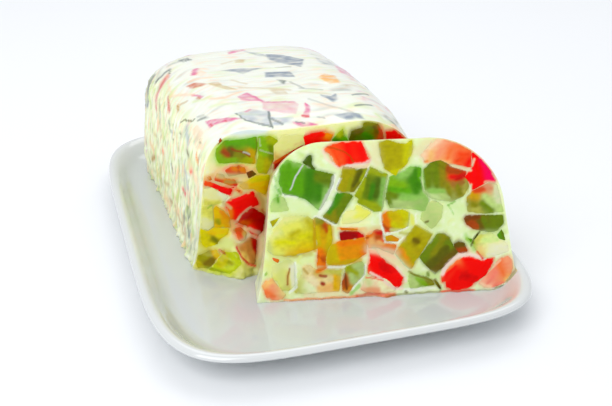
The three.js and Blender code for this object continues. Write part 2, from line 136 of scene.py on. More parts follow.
bpy.ops.object.camera_add(
    location=CAMERA_AT, rotation=(math.pi / 2 - CAMERA_DOWN, 0, -CAMERA_RIGHT))
camera = bpy.context.object
camera.data.lens = LENS
camera.data.sensor_width = 36
bpy.context.scene.camera = camera
print("lens", camera.data.lens)

# %% [markdown]
# The light is a bright, soft studio: a white world that fills every shadow, and wide lamps above
# and to the left that give the wet surfaces something to reflect. Colours are shown as they are,
# with the plain view transform, because clear jelly is brighter than a film-like curve allows.

# %% Light
WORLD_COLOUR = (0.95, 0.975, 1.0, 1)
WORLD_STRENGTH = 0.74
FOOD_AT = (0, 0, 0.03)

world = bpy.data.worlds.new("studio")
bpy.context.scene.world = world
world.use_nodes = True
backdrop = world.node_tree.nodes["Background"]
backdrop.inputs["Color"].default_value = WORLD_COLOUR
backdrop.inputs["Strength"].default_value = WORLD_STRENGTH
bpy.context.scene.view_settings.view_transform = "Standard"


def soft_lamp(name, at, width, height, watts):
    bpy.ops.object.light_add(type="AREA", location=at)
    lamp = bpy.context.object
    lamp.name = name
    lamp.data.shape = "RECTANGLE"
    lamp.data.size = width
    lamp.data.size_y = height
    lamp.data.energy = watts
    aim = Vector(FOOD_AT) - Vector(at)
    lamp.rotation_euler = aim.to_track_quat("-Z", "Y").to_euler()


soft_lamp("key", (-0.66, -0.58, 0.95), width=0.9, height=0.9, watts=7)
soft_lamp("top", (0.25, 0.55, 1.1), width=1.2, height=0.8, watts=4)

# %% [markdown]
# The plate stands on a plain pale floor. The functions here make every material below.

# %% Floor
def new_material(name, **values):
    """A material whose Principled shader has the given values on its own sockets."""
    material = bpy.data.materials.new(name)
    material.use_nodes = True
    shader = material.node_tree.nodes["Principled BSDF"]
    for socket, value in values.items():
        shader.inputs[socket.replace("_", " ")].default_value = value
    return material


def connect(material, *links):
    """Links pairs of (node, output) and (node, input); a node may be given by its name."""
    tree = material.node_tree
    for (source, output), (target, socket) in links:
        source, target = [tree.nodes[n] if isinstance(n, str) else n for n in (source, target)]
        tree.links.new(source.outputs[output], target.inputs[socket])


def add_node(material, kind, **values):
    node = material.node_tree.nodes.new(kind)
    for socket, value in values.items():
        node.inputs[socket.replace("_", " ")].default_value = value
    return node


def add_bump(material, scale, detail, strength, distance, socket="Normal"):
    """A slight unevenness of the finish, from noise in the object's own space."""
    where = add_node(material, "ShaderNodeTexCoord")
    ripple = add_node(material, "ShaderNodeTexNoise", Scale=scale, Detail=detail)
    bump = add_node(material, "ShaderNodeBump", Strength=strength, Distance=distance)
    connect(material, ((where, "Object"), (ripple, "Vector")),
            ((ripple, "Fac"), (bump, "Height")),
            ((bump, "Normal"), ("Principled BSDF", socket)))


FLOOR_SIZE = 6.0
FLOOR_DROP = 0.0002

bpy.ops.object.select_all(action="DESELECT")
bpy.ops.mesh.primitive_plane_add(size=FLOOR_SIZE, location=(0, 0, -FLOOR_DROP))
floor = bpy.context.object
floor.name = "floor"
floor.data.materials.append(
    new_material("pale_floor", Base_Color=(0.88, 0.89, 0.91, 1), Roughness=0.6))
print("floor", FLOOR_SIZE, "m across")

# %% [markdown]
# Every curved form here is a grid wrapped round a stack of outlines. A grid is added, each of its
# rows takes the place of one outline, and its first and last columns are then merged into a seam.
# Extruding ring by ring would give the same mesh, but thousands of rings' points are quicker to
# place in one go. The last outline can shrink to a point, which closes the form.

# %% Wrap a grid round outlines
SEAM = 1e-6


def wrap_grid(name, rings):
    bpy.ops.object.select_all(action="DESELECT")
    bpy.ops.mesh.primitive_grid_add(
        x_subdivisions=len(rings[0]), y_subdivisions=len(rings) - 1, size=1)
    obj = bpy.context.object
    obj.name = obj.data.name = name
    move_vertices(obj, np.concatenate([rings, rings[:, :1]], axis=1))
    merge_close(obj, SEAM)
    return obj


def shrink_to(ring, centre, steps, power=1.0):
    """Rings between `ring` and a point, for a closed end."""
    shares = (np.arange(1, steps + 1) / steps) ** power
    return [ring + (centre - ring) * share for share in shares]


print("wrap_grid ready")

# %% [markdown]
# The plate is a rounded rectangle of white porcelain with a low curved wall and a foot ring. Every
# level of its wall is the same outline, drawn in by an inset. Corner cutting, which replaces each
# corner of a line by two softer ones, turns the few measured points of the wall into a smooth
# profile.

# %% Plate shape
plate_low, plate_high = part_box("plate")
PLATE_HALF = (0.0836, 0.1174)
PLATE_SQUARENESS = 5.4
PLATE_SIDES = 320
PLATE_FLOOR = 0.0056
# millimetres in from the edge and up, from under the foot ring and over the rim to the floor
PLATE_WALL = [
    (29, 1.4), (27.4, 0.2), (26.8, 0), (21.6, 0), (20.6, 0.5), (14, 4.2), (6, 8.4), (1.4, 11),
    (0.15, 12.3), (0.15, 13.3), (1.2, 14.3), (2.8, 14.4), (4.6, 13.4), (6.8, 10.6), (8.8, 8),
    (11, 6.3), (14, 5.6), (16, 5.6),
]


def cut_corners(line):
    start, end = line[:-1], line[1:]
    softer = np.stack([start * 0.75 + end * 0.25, start * 0.25 + end * 0.75], axis=1)
    return np.concatenate([line[:1], softer.reshape(-1, 2), line[-1:]])


def plate_ring(inset, height):
    angle = np.arange(PLATE_SIDES) / PLATE_SIDES * TAU
    across, along = [np.sign(turn) * np.abs(turn) ** (2 / PLATE_SQUARENESS)
                     for turn in (np.cos(angle), np.sin(angle))]
    return np.stack([
        (PLATE_HALF[0] - inset) * across,
        (PLATE_HALF[1] - inset) * along,
        np.full(PLATE_SIDES, height),
    ], axis=1)


profile = np.array(PLATE_WALL) * MM
for _ in range(2):
    profile = cut_corners(profile)
rings = [plate_ring(inset, height) for inset, height in profile]
under = np.array([0, 0, rings[0][0, 2]])
over = np.array([0, 0, rings[-1][0, 2]])
rings = shrink_to(rings[0], under, 8)[::-1] + rings + shrink_to(rings[-1], over, 30)
plate = wrap_grid("white_plate", np.array(rings))
shade_smooth(plate, 50)
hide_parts("plate")
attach(plate, "root")
print("plate faces", len(plate.data.polygons), "box", plate_low, plate_high)

# %% [markdown]
# The glaze is a glassy white coat. Its colour is painted lighter on the raised rim than on the
# floor: painted light on the rim and painted shade on the floor. A faint wide bump breaks its
# reflections, as glaze that ran and set does. The foot ring is bare, matt clay.

# %% Plate finish
WALL_FROM, WALL_TO = 0.0062, 0.0130
# glaze colour by height: painted shade on the floor, painted light up the wall to the rim
SHADED_FLOOR_WHITE, LIT_RIM_WHITE = (0.59, 0.62, 0.615, 1), (0.67, 0.69, 0.69, 1)

glaze = new_material("white_glaze", Roughness=0.16, IOR=1.5, Coat_Weight=0.8,
                     Coat_Roughness=0.03, Coat_IOR=1.6)
add_bump(glaze, scale=28, detail=1, strength=0.06, distance=0.004, socket="Coat Normal")
where = add_node(glaze, "ShaderNodeTexCoord")
height = add_node(glaze, "ShaderNodeSeparateXYZ")
rise = add_node(glaze, "ShaderNodeMapRange", From_Min=WALL_FROM, From_Max=WALL_TO)
painted_rim_light = add_node(glaze, "ShaderNodeMix")
painted_rim_light.data_type = "RGBA"
painted_rim_light.inputs["A"].default_value = SHADED_FLOOR_WHITE
painted_rim_light.inputs["B"].default_value = LIT_RIM_WHITE
connect(glaze, ((where, "Object"), (height, "Vector")), ((height, "Z"), (rise, "Value")),
        ((rise, "Result"), (painted_rim_light, "Factor")),
        ((painted_rim_light, "Result"), ("Principled BSDF", "Base Color")))

bare_clay = new_material("bare_clay", Base_Color=(0.78, 0.74, 0.68, 1), Roughness=0.85)
add_bump(bare_clay, scale=900, detail=2, strength=0.4, distance=0.0003)

plate.data.materials.append(glaze)
plate.data.materials.append(bare_clay)
FOOT_TOP = 0.0003
foot_faces = [face for face in plate.data.polygons if face.center.z < FOOT_TOP]
for face in foot_faces:
    face.material_index = 1
print("bare faces", len(foot_faces))

# %% [markdown]
# Loaf and slice share the section of the pan, upside down: wide at the plate, with rounded upper
# edges. Its left foot has spread a little under its own weight, and the right one is rounded.
# The functions below give that section as half widths at a height.

# %% Section of the mould
WIDTH = 0.114
HEIGHT = 0.067
SIDE_DRAFT = 0.115
LEFT = {"round": 0.021, "foot": 0.0, "flare": 0.0021}
RIGHT = {"round": 0.028, "foot": 0.0055, "flare": 0.0006}
FLARE_REACH = 0.008
CROWDING = 1.15                 # over 1: the outlines are closer together near the plate
STAND = PLATE_FLOOR + 0.00005   # the food stands on the plate


def rounded_inset(height, radius):
    rise = np.clip((height - (HEIGHT - radius)) / radius, 0, 1)
    return radius * (1 - np.sqrt(1 - rise ** 2))


def half_width(height, side):
    spread = side["flare"] * (1 - np.exp(-height / FLARE_REACH))
    below = np.maximum(0.0, side["foot"] - height)
    foot = side["foot"] - np.sqrt(side["foot"] ** 2 - below ** 2)
    return (WIDTH / 2 - spread - foot - SIDE_DRAFT * height
            - rounded_inset(height, side["round"]))


def section_heights(straight_steps, round_steps):
    straight = np.linspace(0, 1, straight_steps, endpoint=False) ** CROWDING
    straight = straight * (HEIGHT - RIGHT["round"])
    angle = np.linspace(0, math.pi / 2, round_steps)
    return np.concatenate([straight, HEIGHT - RIGHT["round"] + RIGHT["round"] * np.sin(angle)])


print("width at mid height", round(half_width(HEIGHT / 2, LEFT) + half_width(HEIGHT / 2, RIGHT), 4))

# %% [markdown]
# The loaf stands along the plate. Its cut face is upright, with a foot that has slumped forward,
# most of all on the left, and a top that sinks towards the cut. The uncut end has the pan's big
# radii.

# %% Sizes of the loaf, and its slumped foot
LOAF_AT = (0.0005, -0.0297)
LOAF_TURN = math.radians(1.4)
LOAF_LENGTH = 0.132
LOAF_MIDDLE = LOAF_LENGTH * 0.45
LOAF_END_DRAFT = 0.02
LOAF_END_ROUND = 0.032
LOAF_CORNER = 0.015
LOAF_SIDE_BOW = 0.0032
LOAF_BACK_BULGE = 0.0055
LOAF_END_BOW = 0.0024
CUT_FOOT = 0.0085
CUT_FOOT_REACH = 0.011
CUT_LUMP, CUT_LUMP_AT, CUT_LUMP_WIDTH = 0.009, -0.038, 0.012
CUT_SAG = 0.0052
CUT_SAG_REACH = 0.013
CUT_SAG_FROM = (-0.050, -0.012)
FOOT_LEVELS = np.array([0, 0.0012, 0.0032, 0.007, 0.012, 0.019, 0.029, 0.039])
FOOT_COLUMNS = 13
FACE_INSET = 0.00005
FACE_COLUMNS = 230              # fine enough to paint thin veins on the cut face
SIDE_COLUMNS, CORNER_COLUMNS, END_COLUMNS = 178, 18, 82


def smoothstep(x, low, high):
    t = np.clip((x - low) / (high - low), 0, 1)
    return t * t * (3 - 2 * t)


def cut_foot(x, height):
    """Reach of the slumped foot, along the same few levels and columns as the frame's solid."""
    x, height = np.broadcast_arrays(np.atleast_1d(x), height)
    column = np.linspace(-1, 1, FOOT_COLUMNS)
    reach = []
    for level in FOOT_LEVELS:
        left, right = half_width(level, LEFT), half_width(level, RIGHT)
        across = (right - left) / 2 + column * (right + left) / 2
        fade = 1 - np.minimum(1, np.abs(across) / (WIDTH / 2)) ** 6
        lump = CUT_LUMP * np.exp(-(((across - CUT_LUMP_AT) / CUT_LUMP_WIDTH) ** 2))
        slump = (CUT_FOOT + lump) * fade * np.exp(-((level / CUT_FOOT_REACH) ** 2))
        reach.append(np.interp(x, across, slump))
    reach, each = np.array(reach), np.arange(len(x))
    above = np.clip(np.searchsorted(FOOT_LEVELS, height), 1, len(FOOT_LEVELS) - 1)
    low, high = FOOT_LEVELS[above - 1], FOOT_LEVELS[above]
    share = np.minimum(1, (height - low) / (high - low))
    return reach[above - 1, each] * (1 - share) + reach[above, each] * share


def height_kept(x, y):
    """Share of its height that a place keeps, since the top has sunk towards the cut."""
    sag = CUT_SAG / HEIGHT * smoothstep(x, *CUT_SAG_FROM)
    return 1 - sag * np.exp(-np.maximum(0, y) / CUT_SAG_REACH)


print("reach of the foot on the left", cut_foot(CUT_LUMP_AT, 0).round(4))

# %% [markdown]
# One outline of the loaf runs along its cut face, its right side, its end and its left side. The
# outlines are stacked up to the top, where rings that shrink to a point make the crown.

# %% Loaf
def loaf_ring(height):
    left, right = half_width(height, LEFT), half_width(height, RIGHT)
    bulge = LOAF_BACK_BULGE * (1 - np.exp(-height / FLARE_REACH))
    end = LOAF_LENGTH - LOAF_END_DRAFT * height - rounded_inset(height, LOAF_END_ROUND)
    reach = left + bulge
    face_x = np.linspace(-left, right, FACE_COLUMNS)
    face_y = -cut_foot(face_x, height) + FACE_INSET
    side = np.linspace(0, 1, SIDE_COLUMNS + 2)[1:-1]
    side_y = side * (end - LOAF_CORNER)
    angle = np.linspace(0, math.pi / 2, CORNER_COLUMNS)
    corner_x = right - LOAF_CORNER + LOAF_CORNER * np.cos(angle)
    corner_y = end - LOAF_CORNER + LOAF_CORNER * np.sin(angle)
    corner_y += LOAF_END_BOW * (1 - (corner_x / right) ** 2)
    back_x = np.linspace(right - LOAF_CORNER, LOAF_CORNER - reach, END_COLUMNS + 2)[1:-1]
    back_reach = np.where(back_x > 0, right, reach)
    back_y = end + LOAF_END_BOW * (1 - (back_x / back_reach) ** 2)
    far_x = LOAF_CORNER - reach - LOAF_CORNER * np.sin(angle)
    far_y = end - LOAF_CORNER + LOAF_CORNER * np.cos(angle)
    far_y += LOAF_END_BOW * (1 - (far_x / reach) ** 2)
    x = np.concatenate([face_x, right + LOAF_SIDE_BOW * 4 * side * (1 - side), corner_x, back_x,
                        far_x, -left - bulge * side[::-1]])
    y = np.concatenate([face_y, side_y, corner_y, back_y, far_y, side_y[::-1]])
    return np.stack([x, y, height * height_kept(x, y)], axis=1)


def stand_on_plate(points, at, turn):
    c, s = math.cos(turn), math.sin(turn)
    x, y, z = points[..., 0], points[..., 1], points[..., 2]
    return np.stack([at[0] + c * x - s * y, at[1] + s * x + c * y, z + STAND], axis=-1)


rings = [loaf_ring(height) for height in section_heights(60, 46)]
cap = shrink_to(rings[-1], np.array([0, LOAF_MIDDLE, HEIGHT]), 70)
for ring in cap:
    ring[:, 2] = HEIGHT * height_kept(ring[:, 0], ring[:, 1])
sole = shrink_to(rings[0], np.array([0, LOAF_MIDDLE, 0]), 10)[::-1]
rings = np.array(sole + rings + cap)
loaf = wrap_grid("loaf_cream_body", stand_on_plate(rings, LOAF_AT, LOAF_TURN))
print("loaf vertices", len(loaf.data.vertices))

# %% [markdown]
# The slice is a plain cut through the same section. It leans back on the loaf, and its foot has
# settled flat on the plate, so its thickness turns level there.

# %% Slice shape
SLICE_AT = (0.0202, -0.0779)
SLICE_TURN = math.radians(-10.8)
SLICE_LEAN = math.radians(25.3)
SLICE_THICK = 0.0154
SLICE_FOOT = 0.0162
SLICE_FOOT_REACH = 0.022
BACK_COLUMNS = 90
EDGE_COLUMNS = 18


def slice_point(across, up, through):
    """Across and up on the front face, and 0 to 1 through the slice."""
    settle = smoothstep(up, 0, SLICE_FOOT_REACH)
    thick = SLICE_FOOT + (SLICE_THICK - SLICE_FOOT) * settle
    depth = FACE_INSET + (thick - 2 * FACE_INSET) * through
    return np.stack([
        across + 0 * depth,
        up * math.sin(SLICE_LEAN) + depth * np.cos(SLICE_LEAN * settle),
        up * math.cos(SLICE_LEAN) - depth * np.sin(SLICE_LEAN * settle),
    ], axis=-1)


def slice_ring(up):
    left, right = -half_width(up, LEFT), half_width(up, RIGHT)
    front = np.linspace(left, right, FACE_COLUMNS)
    back = np.linspace(right, left, BACK_COLUMNS)
    edge = np.linspace(0, 1, EDGE_COLUMNS + 2)[1:-1]
    across = np.concatenate(
        [front, np.full(EDGE_COLUMNS, right), back, np.full(EDGE_COLUMNS, left)])
    through = np.concatenate(
        [np.zeros(FACE_COLUMNS), edge, np.ones(BACK_COLUMNS), edge[::-1]])
    return slice_point(across, up, through)


rings = [slice_ring(up) for up in section_heights(66, 56)]
sole = shrink_to(rings[0], rings[0].mean(axis=0), 8)[::-1]
cap = shrink_to(rings[-1], rings[-1].mean(axis=0), 10)
rings = np.array(sole + rings + cap)
slice_body = wrap_grid("slice_cream_body", stand_on_plate(rings, SLICE_AT, SLICE_TURN))
print("slice vertices", len(slice_body.data.vertices))

# %% [markdown]
# The right end of the slice reaches the plate's wall. Jelly is soft, so it rests on the wall there.
# Whatever would be inside the plate is lifted onto its surface.

# %% Rest on the plate
REST_GAP = 0.00004
PLATE_TOP = 0.0145
plate_tree = BVHTree.FromObject(plate, bpy.context.evaluated_depsgraph_get())


def rest_on_plate(obj):
    points = coordinates(obj)
    lifted = 0
    for i in np.flatnonzero(points[:, 2] < PLATE_TOP):
        place = plate_tree.ray_cast(Vector((*points[i, :2], 0.1)), Vector((0, 0, -1)))[0]
        if place and points[i, 2] < place.z + REST_GAP:
            points[i, 2] = place.z + REST_GAP
            lifted += 1
    move_vertices(obj, points)
    return lifted


print("lifted onto the wall", rest_on_plate(loaf), rest_on_plate(slice_body))

# %% [markdown]
# Places on a cut face are given as across from its middle, up from its foot and depth behind it.
# These two functions go from there to the scene and back.

# %% Places on a cut face
def on_loaf(across, up, depth):
    local = np.stack([across, depth - cut_foot(across, up), up], axis=-1)
    return stand_on_plate(local, LOAF_AT, LOAF_TURN)


def on_slice(across, up, depth):
    return stand_on_plate(slice_point(across, up, depth / SLICE_THICK), SLICE_AT, SLICE_TURN)


def behind_slice(across, up, depth):
    return on_slice(across, up, SLICE_THICK - depth)


def turned_back(points, at, turn):
    """The reverse of stand_on_plate."""
    c, s = math.cos(turn), math.sin(turn)
    x, y = points[:, 0] - at[0], points[:, 1] - at[1]
    return np.stack([c * x + s * y, -s * x + c * y, points[:, 2] - STAND], axis=1)


def face_places(points, part):
    """Across, up and depth behind the cut face of the loaf or the slice."""
    if part == "loaf":
        local = turned_back(points, LOAF_AT, LOAF_TURN)
        reach = cut_foot(local[:, 0], np.clip(local[:, 2], 0, HEIGHT))
        return local[:, 0], local[:, 2], local[:, 1] + reach
    local = turned_back(points, SLICE_AT, SLICE_TURN)
    c, s = math.cos(SLICE_LEAN), math.sin(SLICE_LEAN)
    return (local[:, 0], s * local[:, 1] + c * local[:, 2],
            c * local[:, 1] - s * local[:, 2])


print("half way up the slice", on_slice(np.zeros(1), np.full(1, 0.03), np.zeros(1)).round(4))

# %% [markdown]
# The pieces of coloured jelly that show at the cuts come from the frame. Each is copied, its loose
# triangles are merged, and a voxel remesh gives it an even skin with softly rounded edges, as
# jelly cubes get when they are stirred. A slow wave then makes its sides a little uneven, and its
# cut side swells into a low dome, as jelly does once the knife lets go. Bevels would round the
# edges too, but they pinch where three uneven faces meet.

# %% Copy and soften a piece
LOOSE = 0.00002                 # corners of the copied triangles that are closer are one
GRAIN = 0.0004                  # voxel size
UNEVEN = 0.00016
UNEVEN_SCALE = 260
OUTWARD = 0.00040               # makes up for the smoothing and for the cream over the edge
CREASE = 60                     # degrees; sharper edges stay sharp
FRONT_DEPTH = 0.0006            # vertices nearer the cut than this are on a piece's front
SIDE_DEPTHS = (0.0007, 0.0016)
PROUD = 0.3                     # share of its height over the cut that a piece keeps
DOME = 0.00022
DOME_REACH = 2.6                # millimetres from the edge to the full height of the dome
INTO_FACE = {
    "loaf": Vector((math.sin(-LOAF_TURN), math.cos(LOAF_TURN), 0)),
    "slice": Vector((math.sin(-SLICE_TURN) * math.cos(SLICE_LEAN),
                     math.cos(SLICE_TURN) * math.cos(SLICE_LEAN), -math.sin(SLICE_LEAN))),
}


def edge_distance(across, up, depth):
    """Millimetres from each front vertex to the side of its piece; large elsewhere."""
    side = np.flatnonzero((depth > SIDE_DEPTHS[0]) & (depth < SIDE_DEPTHS[1]))
    tree = kdtree.KDTree(len(side))
    for i in side:
        tree.insert((across[i] / MM, up[i] / MM, 0), i)
    tree.balance()
    apart = np.full(len(across), 9.0)
    for i in np.flatnonzero(depth < FRONT_DEPTH):
        apart[i] = tree.find((across[i] / MM, up[i] / MM, 0))[2]
    return apart


def soften(obj, part):
    apply_modifier(obj, "REMESH", mode="VOXEL", voxel_size=GRAIN)
    apply_modifier(obj, "SMOOTH", factor=0.5, iterations=2)
    points, directions = coordinates(obj), normals(obj)
    wave = np.array([noise.noise(Vector(p) * UNEVEN_SCALE) for p in points])
    points += directions * (OUTWARD + wave * UNEVEN)[:, None]
    across, up, depth = face_places(points, part)
    front = depth < FRONT_DEPTH
    rise = smoothstep(edge_distance(across, up, depth)[front], 0.3, DOME_REACH)
    sink = (PROUD - 1) * np.minimum(depth[front], 0) - DOME * rise
    points[front] += sink[:, None] * np.array(INTO_FACE[part])
    move_vertices(obj, points)
    shade_smooth(obj, CREASE)


slots = {part["node"]: part["material_slot"] for part in frame["record"]["subparts"]}
piece_nodes = [n for n in sorted(nodes) if n != "plate" and not n.endswith("_cream")]
pieces = {}
for node in piece_nodes:
    piece = new_object(node + "_piece", nodes[node].data.copy())
    piece.data.materials.clear()
    merge_close(piece, LOOSE)
    soften(piece, node.split("_")[0])
    rest_on_plate(piece)
    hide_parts(node)
    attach(piece, "root")
    pieces[node] = piece
print("pieces", len(pieces), "faces", sum(len(p.data.polygons) for p in pieces.values()))

# %% [markdown]
# Each piece needs a pocket in the cream, or only its front face would show. The pockets are cut
# with copies of the pieces, drawn in at their sides until the cream closes over the rounding of
# the piece's edge, so that no dark groove is left round it. At the front the copies stand proud,
# to cut the cream cleanly. They need far fewer faces than the pieces.

# %% Cut the pockets
POCKET_INSET = 0.00036
POCKET_PROUD = 0.0007
POCKET_MOUTH = 0.0009           # depth down to which the copies stand proud
POCKET_FACES = 0.14             # share of a piece's faces that its pocket keeps


def cut_pockets(body, part):
    into = np.array(INTO_FACE[part])
    cutters = []
    for piece in [piece for node, piece in pieces.items() if node.startswith(part)]:
        cutter = new_object("cutter", piece.data.copy())
        points, directions = coordinates(cutter), normals(cutter)
        depth = face_places(points, part)[2]
        directions -= (directions @ into)[:, None] * into
        front = np.clip(1 - depth / POCKET_MOUTH, 0, 1)
        points -= directions * POCKET_INSET + POCKET_PROUD * front[:, None] * into
        move_vertices(cutter, points)
        apply_modifier(cutter, "DECIMATE", ratio=POCKET_FACES)
        cutters.append(cutter)
    select_only(cutters[0])
    for cutter in cutters:
        cutter.select_set(True)
    bpy.ops.object.join()
    joined = bpy.context.object
    apply_modifier(body, "BOOLEAN", operation="DIFFERENCE", solver="MANIFOLD", object=joined)
    bpy.data.objects.remove(joined)


bodies = {"loaf": loaf, "slice": slice_body}
for part, body in bodies.items():
    cut_pockets(body, part)
    shade_smooth(body, 35)
    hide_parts(part + "_cream")
    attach(body, "root")
    print(part, len(body.data.polygons), "faces")

# %% [markdown]
# Every colour below is one of these tones, given as the eye sees it, and shaders want it linear.
# Tones and strokes are kept as text, one entry after the other, and read by small functions.

# %% Tones
def read_entries(text):
    """[(tone, numbers), ...] from entries parted by a semicolon or a new line."""
    split = [entry.split() for entry in text.strip().replace("\n", "; ").split("; ")]
    return [(tone, [float(number) for number in numbers]) for tone, *numbers in split]


def pairs(numbers):
    return list(zip(numbers[::2], numbers[1::2]))


# tone, red, green, blue
TONES = dict(read_entries("""
milk 224 240 184; milk_pink 255 222 204; milk_white 240 246 222; milk_yellow 244 246 184
straw 222 232 140; lemon 226 230 92; yellow 212 210 0; deep_yellow 210 188 0; mustard 184 174 0
gold 216 168 0; amber 234 148 0; orange 246 124 0; apricot 242 182 104; peach 250 204 164
salmon 255 150 108; pink_salmon 255 128 106; coral 255 112 52; scarlet 244 66 14; red 255 4 0
deep_red 214 0 0; dark_red 160 0 0; magenta 244 0 84; rust 190 74 0; brown 132 66 0
umber 112 92 0; caramel 174 114 44; tan 202 168 78; sand 222 204 140; beige 234 216 168
khaki 186 184 74; olive 142 140 0; dark_olive 96 96 0; moss 112 138 0; bottle 82 112 0
green 68 142 0; leaf 100 176 0; lime 136 188 12; chartreuse 172 186 0; mist 196 222 132
mint 152 206 92; milk_green 208 232 158; frost 222 234 238; glint 250 255 246; slate 134 146 160
smoke 106 118 112; lavender 168 178 192; rose 220 108 152; red_streak 214 66 76
terracotta 206 122 92; biscuit 206 182 132; ochre_spot 190 140 30; lime_streak 206 226 140
sage 158 182 106; side_cream 243 249 208; top_cream 236 238 226
"""))


def linear(tone):
    c = np.array(TONES[tone]) / 255
    return np.where(c <= 0.04045, c / 12.92, ((c + 0.055) / 1.055) ** 2.4)


print("tones", len(TONES))

# %% [markdown]
# A cut piece is never one flat colour: it is deep where the jelly is thick, and fades to the cream
# where it thins out to a wedge. That could be a gradient node for each piece. Here a few drops of
# colour are set down on each piece instead, as with a brush, and they run into each other: every
# vertex mixes the drops by how near they are. Each is a short stroke between two places, which are
# in millimetres on the cut face, across from its middle and up from its foot.

# %% Drops
def read_drops(text):
    """{piece: entries}; a line that starts with spaces goes on with the piece above it."""
    rows = [row.split(": ") for row in text.strip().replace("\n  ", "; ").splitlines()]
    return {piece: read_entries(entries) for piece, entries in rows}


